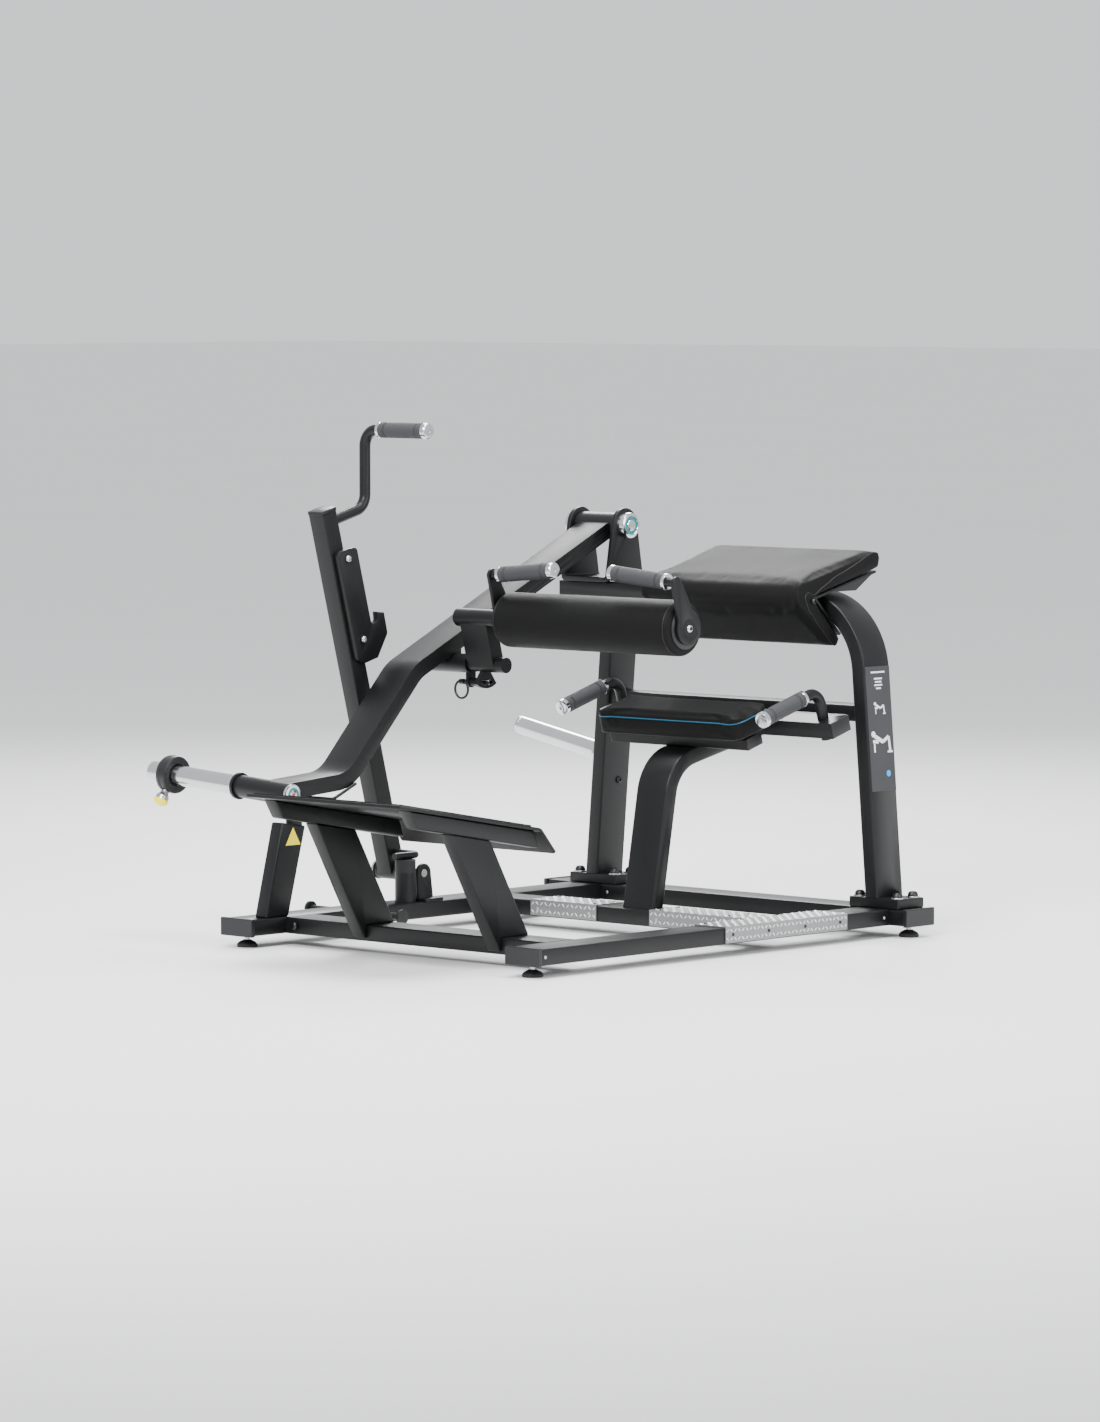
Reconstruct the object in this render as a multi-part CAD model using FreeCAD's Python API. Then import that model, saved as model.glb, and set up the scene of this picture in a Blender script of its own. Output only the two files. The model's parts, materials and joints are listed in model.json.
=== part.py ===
"""Plate-loaded hip thrust machine, one STEP file for each sub-part in parts/.

Millimetres.  Working axes: x across the machine with 0 at the middle of the seat and +x on the near
side, y from the foot end to the head end, z up from the floor.  The finished parts are moved so that
the origin is the centre of the footprint on the floor.
"""
import FreeCAD, Part
import math
import os

V = FreeCAD.Vector
X_AXIS = V(1, 0, 0)
Y_AXIS = V(0, 1, 0)

# ---------------------------------------------------------------- driving dimensions: base frame
BEAM_W = 100.0                # flat tube, wide side
BEAM_H = 40.0                 # flat tube, thin side
WALL = 3.0
BEAM_BOTTOM = 30.0            # the levelling feet hold the tubes this high
NEAR_X = 412.0                # middle of the near side beam
FAR_X = -551.0                # middle of the far side beam
FAR_START = 14.0              # the far side beam starts this much further back
FRONT_Y = 135.0               # front face of the front cross beam
MIDDLE_Y = 848.0              # front face of the middle cross beam
REAR_Y = 1276.0               # front face of the rear cross beam
REAR_OUT_NEAR = 58.0          # rear beam past the near side beam
REAR_OUT_FAR = 98.0           # rear beam past the far side beam
CAP_T = 12.0                  # plastic end caps
CAP_PROUD_SIDE = 4.0
CAP_PROUD_TOP = 2.0
PLUG_DEPTH = 20.0
FOOT_R = 25.0
FOOT_H = 18.0
STUD_R = 6.0
FOOT_INSET = 38.0
TREAD_T = 3.0
SIDE_TREAD = (660.0, 1111.0)
MIDDLE_TREAD = ((-347.0, -125.0), (52.0, NEAR_X - BEAM_W / 2))
PEG_Y = 430.0
PEG_Z = 55.0
PEG_R = 9.0
PEG_REACH = 163.0             # from the middle of the far side beam to the outside of a peg disc
PEG_DISC_R = 18.5
PEG_DISC_T = 8.0

# ---------------------------------------------------------------- driving dimensions: rear gantry
PLATE_L = 158.0               # base plates under the rear posts
PLATE_T = 25.0
NEAR_POST_X = 402.0           # middle of each rear post where it stands on its plate
FAR_POST_X = -536.0
POST_LEAN = 4.7               # degrees, inwards
GANTRY_Z = 827.0              # middle of the horizontal run
GANTRY_END = -646.0
GANTRY_R = 185.0
TIE_Z = 528.0
TIE_H = 40.0
TIE_SET = 10.0
BOLT_R = 13.0
WASHER_R = 16.0
PLACARD = (357.0, 665.0)
PLACARD_T = 2.0
PLACARD_EDGE = 4.0

# ---------------------------------------------------------------- driving dimensions: lever
ARM_X = -544.0
PIVOT_Y = 1326.0
PIVOT_Z = 991.0
ARM_KNEE = (593.6, 648.3)     # middle line of the arm at its upper bend (y, z)
ARM_HEEL = (351.8, 391.0)     # and at its lower bend
HORN_Y = 140.0                # weight tube
HORN_Z = 373.0                # its middle line under the middle of the arm
ARM_BEND_R = 110.0
LUG_T = 12.0
LUG_GAP = 140.0               # inside the pivot bracket
LUG_R = 44.0
LUG_BASE = 132.0
LUG_EDGE = 15.0
LUG_BEND = 12.0
HUB_R = 32.0
HUB_SIDE_GAP = 2.0
PIVOT_R = 12.5
FIT = 0.05                    # radial clearance in the turning and sliding fits
PIVOT_CAP_R = 33.0
PIVOT_CAP_T = 22.0
PIVOT_CAP_SKIN = 8.0
HORN_TILT = 3.8               # degrees, outer end up
HORN_BACK = 65.0              # weight tube from the middle of the arm to its near end
HORN_TUBE = 190.0             # from that end to the outside of the flange
HORN_TUBE_R = 27.5
HORN_CAP_T = 8.0
HORN_FLANGE_R = 33.0
HORN_FLANGE_T = 8.0
SLEEVE_R = 25.0
SLEEVE_L = 300.0
SLEEVE_BORE = 21.0
COLLAR_R = 47.0
COLLAR_L = 32.0
COLLAR_AT = 232.0             # from the flange to the middle of the collar
COLLAR_GAP = 0.3
KNOB_TURN = 31.0              # degrees from straight down towards the foot end
KNOB_PIN_R = 4.0
KNOB_R = 16.0
KNOB_START = 56.0
KNOB_L = 23.0
KNOB_NECK_R = 8.0
KNOB_NECK_END = 48.5
REST_X = -527.0               # post and bumper that the lever rests on
REST_FOOT_Y = 73.0
REST_TOP = (132.0, 300.0)
REST_DEPTH = 79.0
REST_TOP_DROP = 12.0
REST_BUMPER_R = 20.0
REST_BUMPER_Y = 190.0
REST_GAP = 0.3
CATCH_Y = 650.0               # pin that the rack hook holds
CATCH_R = 8.0
CATCH_L = 23.0
LOOP_R = 4.0

# ---------------------------------------------------------------- driving dimensions: roller
ROLLER_Y = 705.0
ROLLER_Z = 781.0
ROLLER_R = 71.5
ROLLER_HALF = 296.0
SHAFT_R = 22.5
SHAFT_WALL = 4.0
SHAFT_FAR_END = -461.0
CARRIER_Y = 735.0             # pivot under the arm
CARRIER_Z = 664.0
CARRIER_X = (-441.0, -353.0)
CARRIER_T = 40.0
CARRIER_TUBE_R = 19.5
CARRIER_TUBE_END = -326.0
CARRIER_PIN_R = 15.0
HOUSING_R = 24.0
HOUSING_FAR = -588.0
INDEX_X = (-452.0, -444.0)    # plate that carries the plunger
PLUNGER_RADIUS = 46.0
BARREL_R = 11.0
BARREL_L = 32.0
PLUNGER_R = 5.0
SECTOR_X = (-405.0, -393.0)   # slotted sector on the carrier
SECTOR_R = 60.0
SECTOR_HALF = 36.0            # degrees
SLOT_HALF = 19.0              # degrees
RING_R = 22.0
RING_WIRE = 3.0
HANDLE_RISE = 111.0           # roller handles, above the roller axis
HANDLE_FORE = 45.0            # and towards the foot end of it
HANDLE_PLATE_T = 8.0
HANDLE_GAP = 4.0
HANDLE_LOBE_R = 41.0
HANDLE_TOP_R = 16.0
HANDLE_TILT = 5.0             # degrees, inner end up
HANDLE_INNER = 93.0
HANDLE_GRIP_START = 26.0
GRIP_R = 19.5
GRIP_TUBE_R = 11.0
GRIP_CAP_R = 20.0
GRIP_CAP_L = 14.0

# ---------------------------------------------------------------- driving dimensions: rack
RACK_Y = 653.0                # pivot
RACK_Z = 139.0
RACK_X = -646.0               # middle of the upright
RACK_TUBE = 50.0
RACK_LEAN = 15.0              # degrees, towards the foot end
RACK_TOP = 944.0              # from the pivot to the top, along the upright
RACK_CAP_T = 8.0
RACK_HUB_R = 22.0
RACK_HUB_OUT = 13.0
RACK_PIN_R = 10.0
RACK_HUB_SIDE = 3.0
EAR_T = 10.0
EAR_GAP = 50.0
EAR_R = 24.0
EAR_PLATE = (628.0, 690.0)
HOOK_T = 16.0
HOOK_SET = 10.0               # hook plate behind the front face of the upright
HOOK_LOW = 545.0              # ends of the hook plate, from the pivot along the upright
HOOK_HIGH = 840.0
HOOK_MOUTH = 643.0
HOOK_W = 70.0
HOOK_R = 11.0                 # mouth of the hook
STOP_X = -539.0
STOP_Y = 593.0
STOP_R = 26.0
STOP_H = 107.0
STOP_BUMPER = 32.0
STOP_ROD_R = 9.0
RACK_BAR_R = 14.0
RACK_BAR_Y = 561.0
RACK_BAR_Z = 1247.0
RACK_BAR_AT = 908.0           # from the pivot along the upright
RACK_BEND = 42.0
RACK_GRIP = (-594.0, -424.0)

# ---------------------------------------------------------------- driving dimensions: seat
SEAT_Y = 955.0                # top front edge of the seat pad
SEAT_Z = 548.0
SEAT_TILT = 16.5              # degrees, rear edge up
SEAT_HALF = 242.0
SEAT_DEPTH = (-8.0, 138.0)
SEAT_T = 68.0
SEAT_EDGE_R = 14.0
SEAT_BAR = (33.0, 91.0)
SEAT_BAR_T = 30.0
SEAT_BAR_HALF = 225.0
CROSSBAR = (173.0, 243.0)
CROSSBAR_DROP = 68.0
CROSSBAR_HALF = 383.0
SEAT_POST_Y = 859.0
SEAT_POST_LEAN = 10.2
SEAT_POST_R = 110.0
SEAT_HANDLE_X = 332.0
SEAT_HANDLE_R = 14.0
SEAT_HANDLE_BEND = 36.0
SEAT_HANDLE_UP = 3.5
SEAT_GRIP = (-14.0, 150.0)
SEAT_STUB = 14.0

# ---------------------------------------------------------------- driving dimensions: back pad
PAD_HALF = 272.0
PAD_REAR = (1476.0, 952.0)    # corners of the section (y, z)
PAD_FRONT = (1161.0, 872.0)
PAD_NOSE = (1146.0, 824.0)
PAD_LOW = (1303.0, 700.0)
PAD_UPPER_T = 50.0
PAD_LOWER_T = 36.0
PAD_BEND = (1214.0, 835.0)    # inside of the V
BOARD_T = 6.0
BOARD_UP = 246.0
BOARD_DOWN = 140.0
GUSSET_X = (-150.0, 150.0, 262.0)
GUSSET_T = 8.0

# ---------------------------------------------------------------- driving dimensions: foot plate
FOOT_PLATE_TOP = (-220.0, 406.0)   # top front edge (y, z)
FOOT_TILT = 9.8                    # degrees, rear edge down
FOOT_PLATE_X = (-273.5, 232.5)
FOOT_PLATE_L = 489.0
FOOT_PLATE_T = 8.0
LIP_L = 78.0
LIP_TURN = 39.2                    # degrees, down from the plate
LIP_R = 14.0
MAT_T = 4.0
MAT_EDGE = 12.0
RAIL_X = (-243.0, 202.0)           # middles of the two rails
RAIL_W = 40.0
RAIL_H = 40.0
RAIL_TOP = (46.0, 478.0)
RAIL_BOTTOM = (81.0, 500.0)
FOOT_POST_LEAN = 29.6
FOOT_POST_DEPTH = 106.0
FOOT_POST_TOE = (127.0, 38.0)

# ---------------------------------------------------------------- driving dimensions: storage horn
STORE_Z = 404.0
STORE_TILT = 10.9
STORE_R = 23.8
STORE_BORE = 20.0
STORE_L = 280.0
STORE_FLANGE_R = 45.0
STORE_FLANGE_T = 10.0
STORE_SHOULDER_R = 27.0       # turned shoulder between the flange and the horn
STORE_SHOULDER_T = 6.0
STORE_CAP_R = 23.0
STORE_CAP_T = 12.0

# ---------------------------------------------------------------- places worked out from them
BEAM_TOP = BEAM_BOTTOM + BEAM_H
BEAM_MID = BEAM_BOTTOM + BEAM_H / 2
REAR_END = REAR_Y + BEAM_W
REAR_MID = REAR_Y + BEAM_W / 2
POST_BASE = BEAM_TOP + PLATE_T
GANTRY_TOP = GANTRY_Z + BEAM_H / 2
GANTRY_LOW = GANTRY_Z - BEAM_H / 2
LEAN = math.tan(math.radians(POST_LEAN))
POST_SIDE = BEAM_H / 2 / math.cos(math.radians(POST_LEAN))
ARM_FAR = ARM_X - BEAM_W / 2
ARM_NEAR = ARM_X + BEAM_W / 2

# ---------------------------------------------------------------- shape helpers
def box(x0, x1, y0, y1, z0, z1):
    return Part.makeBox(x1 - x0, y1 - y0, z1 - z0, V(x0, y0, z0))

def rod(p, q, r):
    """Round bar from p to q."""
    axis = q - p
    return Part.makeCylinder(r, axis.Length, p, axis)

def pipe(p, q, r, bore):
    return rod(p, q, r).cut(rod(p, q, bore))

def x_rod(x0, x1, y, z, r):
    return rod(V(x0, y, z), V(x1, y, z), r)

def rims(shape):
    """The circular edges of a plain turned piece."""
    return [e for e in shape.Edges if e.Curve.TypeId == "Part::GeomCircle"]

def corner(before, at, after, radius):
    """Start, middle and end of the arc that rounds a corner."""
    a = (before - at).normalize()
    b = (after - at).normalize()
    half = a.getAngle(b) / 2
    reach = radius / math.tan(half)
    middle = at + (a + b).normalize() * (radius / math.sin(half) - radius)
    return at + a * reach, middle, at + b * reach

def outline(points):
    """Closed face through (corner, radius) pairs; radius 0 is a sharp corner."""
    ends = []
    for i, (at, radius) in enumerate(points):
        if radius:
            before, after = points[i - 1][0], points[(i + 1) % len(points)][0]
            start, middle, end = corner(before, at, after, radius)
            ends.append((start, end, Part.Arc(start, middle, end).toShape()))
        else:
            ends.append((at, at, None))
    edges = []
    for i, (start, end, arc) in enumerate(ends):
        if arc:
            edges.append(arc)
        following = ends[(i + 1) % len(ends)][0]
        if end.distanceToPoint(following) > 1e-6:
            edges.append(Part.LineSegment(end, following).toShape())
    return Part.Face(Part.Wire(Part.__sortEdges__(edges)))

def section_yz(points, x0, x1):
    """Solid with an outline of (y, z) or (y, z, radius) corners between x0 and x1."""
    corners = [(V(x0, p[0], p[1]), p[2] if len(p) > 2 else 0) for p in points]
    return outline(corners).extrude(V(x1 - x0, 0, 0))

def section_xz(points, y0, y1):
    """Solid with an outline of (x, z) or (x, z, radius) corners between y0 and y1."""
    corners = [(V(p[0], y0, p[1]), p[2] if len(p) > 2 else 0) for p in points]
    return outline(corners).extrude(V(0, y1 - y0, 0))

def strip(points, radius, thick, across):
    """Corners, for outline(), of a strip of even thickness along a bent middle line."""
    upper, lower = [], []
    for i, p in enumerate(points):
        into = (p - points[i - 1]).normalize() if i else (points[1] - p).normalize()
        last = i + 1 == len(points)
        out = into if last else (points[i + 1] - p).normalize()
        spread = (across.cross(into) + across.cross(out)).normalize()
        reach = thick / 2 / math.cos(into.getAngle(out) / 2)
        bend = radius if i and not last else 0
        inner = math.copysign(thick / 2, across.cross(into).dot(out)) if bend else 0
        upper.append((p + spread * reach, bend - inner))
        lower.append((p - spread * reach, bend + inner))
    return upper + lower[::-1]

def bent_tube(points, radius, thick, wide, wall, across):
    """Hollow flat tube along a bent middle line; its wide side lies along across."""
    outside = outline(strip(points, radius, thick, across))
    inside = outline(strip(points, radius, thick - 2 * wall, across))
    outside.translate(across * (-wide / 2))
    inside.translate(across * (wall - wide / 2))
    return outside.extrude(across * wide).cut(inside.extrude(across * (wide - 2 * wall)))

def flat_bar(a, b, thick, x0, x1):
    """Straight flat bar between two (y, z) points, from x0 to x1."""
    face = outline(strip([V(x0, *a), V(x0, *b)], 0, thick, X_AXIS))
    return face.extrude(V(x1 - x0, 0, 0))

def beam_y(x, y0, y1):
    half = BEAM_W / 2
    outside = box(x - half, x + half, y0, y1, BEAM_BOTTOM, BEAM_TOP)
    half -= WALL
    return outside.cut(box(x - half, x + half, y0, y1, BEAM_BOTTOM + WALL, BEAM_TOP - WALL))

def beam_x(x0, x1, y0):
    outside = box(x0, x1, y0, y0 + BEAM_W, BEAM_BOTTOM, BEAM_TOP)
    return outside.cut(box(x0, x1, y0 + WALL, y0 + BEAM_W - WALL, BEAM_BOTTOM + WALL, BEAM_TOP - WALL))

def bent_rod(points, bends, r):
    """Round bar through the points, each inner corner rounded by its radius in bends."""
    pieces = []
    start = points[0]
    for i in range(1, len(points) - 1):
        first, _, last = corner(points[i - 1], points[i], points[i + 1], bends[i - 1])
        pieces.append(rod(start, first, r))
        into = (points[i] - points[i - 1]).normalize()
        out = (points[i + 1] - points[i]).normalize()
        axis = into.cross(out).normalize()
        centre = first + axis.cross(into) * bends[i - 1]
        disc = Part.Face(Part.Wire(Part.makeCircle(r, first, into)))
        pieces.append(disc.revolve(centre, axis, math.degrees(into.getAngle(out))))
        start = last
    pieces.append(rod(start, points[-1], r))
    return pieces[0].fuse(pieces[1:]).removeSplitter()

def group(shapes):
    """Separate solids of one node."""
    return Part.makeCompound(shapes)

def along(origin, angle, s, n):
    """Point (y, z) at s along and n above a line that rises by angle degrees from origin."""
    c, k = math.cos(math.radians(angle)), math.sin(math.radians(angle))
    return origin[0] + s * c - n * k, origin[1] + s * k + n * c

def x_arrow(tilt):
    """Direction that leaves the far side of the machine and rises by tilt degrees."""
    return V(-math.cos(math.radians(tilt)), 0, math.sin(math.radians(tilt)))

# ---------------------------------------------------------------- base frame
def end_cap(x, y, along_y, outward):
    """Plastic cap with its inner plug; outward is +1 or -1 along the beam."""
    half, plug = BEAM_W / 2 + CAP_PROUD_SIDE, BEAM_W / 2 - WALL
    z0, z1 = BEAM_BOTTOM - CAP_PROUD_TOP, BEAM_TOP + CAP_PROUD_TOP
    low, high = sorted((0, outward * CAP_T))
    back, front = sorted((0, -outward * PLUG_DEPTH))
    if along_y:
        cover = box(x - half, x + half, y + low, y + high, z0, z1)
        inner = box(x - plug, x + plug, y + back, y + front, BEAM_BOTTOM + WALL, BEAM_TOP - WALL)
    else:
        cover = box(x + low, x + high, y - half, y + half, z0, z1)
        inner = box(x + back, x + front, y - plug, y + plug, BEAM_BOTTOM + WALL, BEAM_TOP - WALL)
    return cover.makeFillet(CAP_PROUD_TOP, cover.Edges).fuse(inner)

def foot_places():
    return ((NEAR_X, FOOT_INSET), (FAR_X, FAR_START + FOOT_INSET),
            (NEAR_X + BEAM_W / 2 + REAR_OUT_NEAR - FOOT_INSET, REAR_MID),
            (FAR_X - BEAM_W / 2 - REAR_OUT_FAR + FOOT_INSET, REAR_MID))

def rubber_foot(x, y):
    """Domed rubber foot, turned about its stud."""
    neck, rim = STUD_R + 4, 5.0
    a, b, c, d = V(FOOT_R, 0, 0), V(FOOT_R, 0, rim), V(neck, 0, FOOT_H), V(0, 0, FOOT_H)
    lines = [Part.LineSegment(V(0, 0, 0), a), Part.LineSegment(a, b),
             Part.Arc(b, V(FOOT_R - rim, 0, FOOT_H / 2), c), Part.LineSegment(c, d),
             Part.LineSegment(d, V(0, 0, 0))]
    face = Part.Face(Part.Wire([line.toShape() for line in lines]))
    foot = face.revolve(V(0, 0, 0), V(0, 0, 1), 360)
    foot.translate(V(x, y, 0))
    return foot

def base_frame():
    near_in, far_in = NEAR_X - BEAM_W / 2, FAR_X + BEAM_W / 2
    rear_near = NEAR_X + BEAM_W / 2 + REAR_OUT_NEAR
    rear_far = FAR_X - BEAM_W / 2 - REAR_OUT_FAR
    peg = x_rod(FAR_X - PEG_REACH, FAR_X + PEG_REACH, PEG_Y, PEG_Z, PEG_R)
    discs = [x_rod(x, x + PEG_DISC_T, PEG_Y, PEG_Z, PEG_DISC_R)
             for x in (FAR_X - PEG_REACH, FAR_X + PEG_REACH - PEG_DISC_T)]
    nut = 6.0
    studs = [rod(V(x, y, FOOT_H), V(x, y, BEAM_BOTTOM), STUD_R).fuse(
        rod(V(x, y, BEAM_BOTTOM - nut), V(x, y, BEAM_BOTTOM), 1.7 * STUD_R)) for x, y in foot_places()]
    caps = [end_cap(NEAR_X, CAP_T, True, -1), end_cap(FAR_X, FAR_START + CAP_T, True, -1),
            end_cap(rear_near - CAP_T, REAR_MID, False, 1), end_cap(rear_far + CAP_T, REAR_MID, False, -1)]
    return {
        "side_beam_near": beam_y(NEAR_X, CAP_T, REAR_Y),
        "side_beam_far": beam_y(FAR_X, FAR_START + CAP_T, REAR_Y).cut(peg),
        "rear_beam": beam_x(rear_far + CAP_T, rear_near - CAP_T, REAR_Y),
        "front_beam": beam_x(far_in, near_in, FRONT_Y),
        "middle_beam": beam_x(far_in, near_in, MIDDLE_Y),
        "beam_end_caps": group(caps),
        "levelling_feet": group([rubber_foot(x, y) for x, y in foot_places()]),
        "foot_studs": group(studs),
        "band_pegs": peg.fuse(discs).removeSplitter(),
    }

def tread_plates():
    """Chequered plates folded over the top and the outer side of the tubes."""
    low, near = BEAM_BOTTOM + WALL, NEAR_X + BEAM_W / 2
    top = BEAM_TOP + TREAD_T
    side = box(near - BEAM_W, near + TREAD_T, *SIDE_TREAD, BEAM_TOP, top).fuse(
        box(near, near + TREAD_T, *SIDE_TREAD, low, BEAM_TOP)).removeSplitter()
    front = MIDDLE_Y - TREAD_T
    middle = [box(x0, x1, front, MIDDLE_Y + BEAM_W, BEAM_TOP, top).fuse(
        box(x0, x1, front, MIDDLE_Y, low, BEAM_TOP)).removeSplitter() for x0, x1 in MIDDLE_TREAD]
    return {"side_tread_plate": side, "middle_tread_plates": group(middle)}

def fasteners():
    """Base plate bolts with washers, the front beam bolt and the small screws of plates and caps."""
    out = []
    bolt_in, bolt_y, washer_t = 19.0, 20.0, 3.0
    for x in plate_middles():
        for dx in (-PLATE_L / 2 + bolt_in, PLATE_L / 2 - bolt_in):
            for y in (REAR_Y + bolt_y, REAR_END - bolt_y):
                top = V(x + dx, y, POST_BASE + washer_t)
                washer = rod(V(x + dx, y, POST_BASE), top, WASHER_R)
                out.append(washer.fuse(Part.makeSphere(BOLT_R, top, V(0, 0, 1), 0, 90)))
    far_in = FAR_X + BEAM_W / 2
    flange, bolt, flange_t, head_r = 36.0, 16.0, 6.0, 9.0
    plate = box(far_in, far_in + flange, FRONT_Y - flange_t, FRONT_Y, BEAM_BOTTOM + 2, BEAM_TOP - 2)
    face = V(far_in + bolt, FRONT_Y - flange_t, BEAM_MID)
    out.append(plate.fuse(rod(face, face - Y_AXIS * flange_t, head_r)))
    near, screw_r, screw_t = NEAR_X + BEAM_W / 2, 4.0, 2.0
    for y in (SIDE_TREAD[0] + 20, SIDE_TREAD[1] - 20):
        out.append(x_rod(near + TREAD_T, near + TREAD_T + screw_t, y, BEAM_MID, screw_r))
    for y in (CAP_T + 16, REAR_Y - 20):
        out.append(x_rod(near, near + screw_t, y, BEAM_MID, screw_r))
    for x0, x1 in MIDDLE_TREAD:
        for x in (x0 + 24, x1 - 24):
            head = V(x, MIDDLE_Y - TREAD_T, BEAM_MID)
            out.append(rod(head, head - Y_AXIS * screw_t, screw_r))
    return {"frame_bolts": group(out)}

# ---------------------------------------------------------------- rear gantry
def plate_middles():
    """Middles of the near and far base plates, a little outside the leaning posts."""
    outside = 8.0
    return NEAR_POST_X + outside, FAR_POST_X + outside / 2

def gantry():
    knee_x = NEAR_POST_X - (GANTRY_Z - POST_BASE) * LEAN
    below = 10.0
    path = [V(NEAR_POST_X + below * LEAN, REAR_MID, POST_BASE - below), V(knee_x, REAR_MID, GANTRY_Z),
            V(GANTRY_END, REAR_MID, GANTRY_Z)]
    near = bent_tube(path, GANTRY_R, BEAM_H, BEAM_W, WALL, Y_AXIS)
    near = near.cut(box(NEAR_POST_X - BEAM_W, NEAR_POST_X + BEAM_W, REAR_Y, REAR_END, 0, POST_BASE))
    top = FAR_POST_X + (GANTRY_LOW - POST_BASE) * LEAN

    def far_slab(side, y0, y1):
        return section_xz([(FAR_POST_X - side, POST_BASE), (FAR_POST_X + side, POST_BASE),
                           (top + side, GANTRY_LOW), (top - side, GANTRY_LOW)], y0, y1)
    inside = far_slab(POST_SIDE - WALL, REAR_Y + WALL, REAR_END - WALL)
    far = far_slab(POST_SIDE, REAR_Y, REAR_END).cut(inside)
    plates = [box(x - PLATE_L / 2, x + PLATE_L / 2, REAR_Y, REAR_END, BEAM_TOP, POST_BASE)
              for x in plate_middles()]
    return {"gantry": near, "rear_post_far": far,
            "post_base_plates": group([p.makeFillet(3, p.Edges) for p in plates])}

def post_faces(z):
    """x of the inner faces of the far and near posts and of the outer face of the near one."""
    rise = (z - POST_BASE) * LEAN
    return FAR_POST_X + rise + POST_SIDE, NEAR_POST_X - rise - POST_SIDE, NEAR_POST_X - rise + POST_SIDE

def tie_bar():
    def slab(z0, z1, inset):
        far0, near0, _ = post_faces(z0)
        far1, near1, _ = post_faces(z1)
        return section_xz([(far0, z0), (near0, z0), (near1, z1), (far1, z1)],
                          REAR_Y + TIE_SET + inset, REAR_END - TIE_SET - inset)
    return {"tie_bar": slab(TIE_Z, TIE_Z + TIE_H, 0).cut(slab(TIE_Z + WALL, TIE_Z + TIE_H - WALL, WALL))}

def placard():
    low, high = PLACARD
    x0, x1 = post_faces(low)[2], post_faces(high)[2]
    return {"placard": section_xz([(x0, low), (x0 + PLACARD_T, low), (x1 + PLACARD_T, high), (x1, high)],
                                  REAR_Y + PLACARD_EDGE, REAR_END - PLACARD_EDGE)}

def storage_horn():
    """Horn for spare plates on the outside of the far post."""
    foot = V(FAR_POST_X - POST_SIDE + (STORE_Z - POST_BASE) * LEAN, REAR_MID, STORE_Z)
    square = x_arrow(POST_LEAN)
    disc = rod(foot, foot + square * STORE_FLANGE_T, STORE_FLANGE_R)
    axis = x_arrow(STORE_TILT)
    seat = foot + axis * (STORE_FLANGE_T + STORE_SHOULDER_T)
    end = seat + axis * STORE_L
    shoulder = rod(foot + axis * (STORE_FLANGE_T / 2), seat, STORE_SHOULDER_R)
    horn = pipe(seat, end, STORE_R, STORE_BORE)
    cap = rod(end, end + axis * STORE_CAP_T, STORE_CAP_R)
    flange = disc.makeFillet(2, rims(disc)).fuse(shoulder).removeSplitter()
    fittings = [flange, cap.makeFillet(3, rims(cap))]
    return {"storage_horn": horn, "storage_horn_fittings": group(fittings)}

# ---------------------------------------------------------------- lever and its pivot
def pivot():
    """U-shaped bracket on the gantry, its shaft and the two caps."""
    base = LUG_GAP / 2 + LUG_T
    z0, z1, z2 = GANTRY_TOP, GANTRY_TOP + LUG_T, PIVOT_Z + LUG_R
    channel = section_xz([(ARM_X - base, z0, LUG_BEND), (ARM_X + base, z0, LUG_BEND), (ARM_X + base, z2),
                          (ARM_X + base - LUG_T, z2), (ARM_X + base - LUG_T, z1, LUG_BEND / 2),
                          (ARM_X - base + LUG_T, z1, LUG_BEND / 2), (ARM_X - base + LUG_T, z2),
                          (ARM_X - base, z2)], PIVOT_Y - LUG_BASE / 2, PIVOT_Y + LUG_BASE / 2)
    reach = base + PIVOT_CAP_T - PIVOT_CAP_SKIN
    shaft = x_rod(ARM_X - reach, ARM_X + reach, PIVOT_Y, PIVOT_Z, PIVOT_R)
    caps = []
    for x in (ARM_X + base, ARM_X - base - PIVOT_CAP_T):
        cap = x_rod(x, x + PIVOT_CAP_T, PIVOT_Y, PIVOT_Z, PIVOT_CAP_R)
        caps.append(cap.makeFillet(4, rims(cap)).cut(shaft))
    return {"pivot_bracket": channel.common(lug_outline()).cut(shaft), "pivot_shaft": shaft,
            "pivot_caps": group(caps)}

def lug_outline():
    """Side view of the bent pivot bracket: a tapered plate with a round top."""
    foot, low = LUG_BASE / 2, GANTRY_TOP
    rise = PIVOT_Z - low - LUG_EDGE
    turn = math.acos(LUG_R / math.hypot(foot, rise)) - math.atan2(rise, foot)
    ty, tz = LUG_R * math.cos(turn), LUG_R * math.sin(turn)
    wall = [(PIVOT_Y - foot, low), (PIVOT_Y + foot, low), (PIVOT_Y + foot, low + LUG_EDGE),
            (PIVOT_Y + ty, PIVOT_Z + tz), (PIVOT_Y - ty, PIVOT_Z + tz), (PIVOT_Y - foot, low + LUG_EDGE)]
    x0, x1 = ARM_X - LUG_GAP, ARM_X + LUG_GAP
    return section_yz(wall, x0, x1).fuse(x_rod(x0, x1, PIVOT_Y, PIVOT_Z, LUG_R))

def arm_end():
    """Middle line of the arm where it meets the weight tube."""
    above = 3.0
    return HORN_Y, HORN_Z + above

def arm_middle(y):
    """Height of the middle line of the upper run of the arm at y."""
    return PIVOT_Z + (y - PIVOT_Y) * (PIVOT_Z - ARM_KNEE[1]) / (PIVOT_Y - ARM_KNEE[0])

def horn_point(s):
    """Point of the weight tube's middle line at s from its near end."""
    return V(ARM_X, HORN_Y, HORN_Z) + x_arrow(HORN_TILT) * (s - HORN_BACK)

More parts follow.
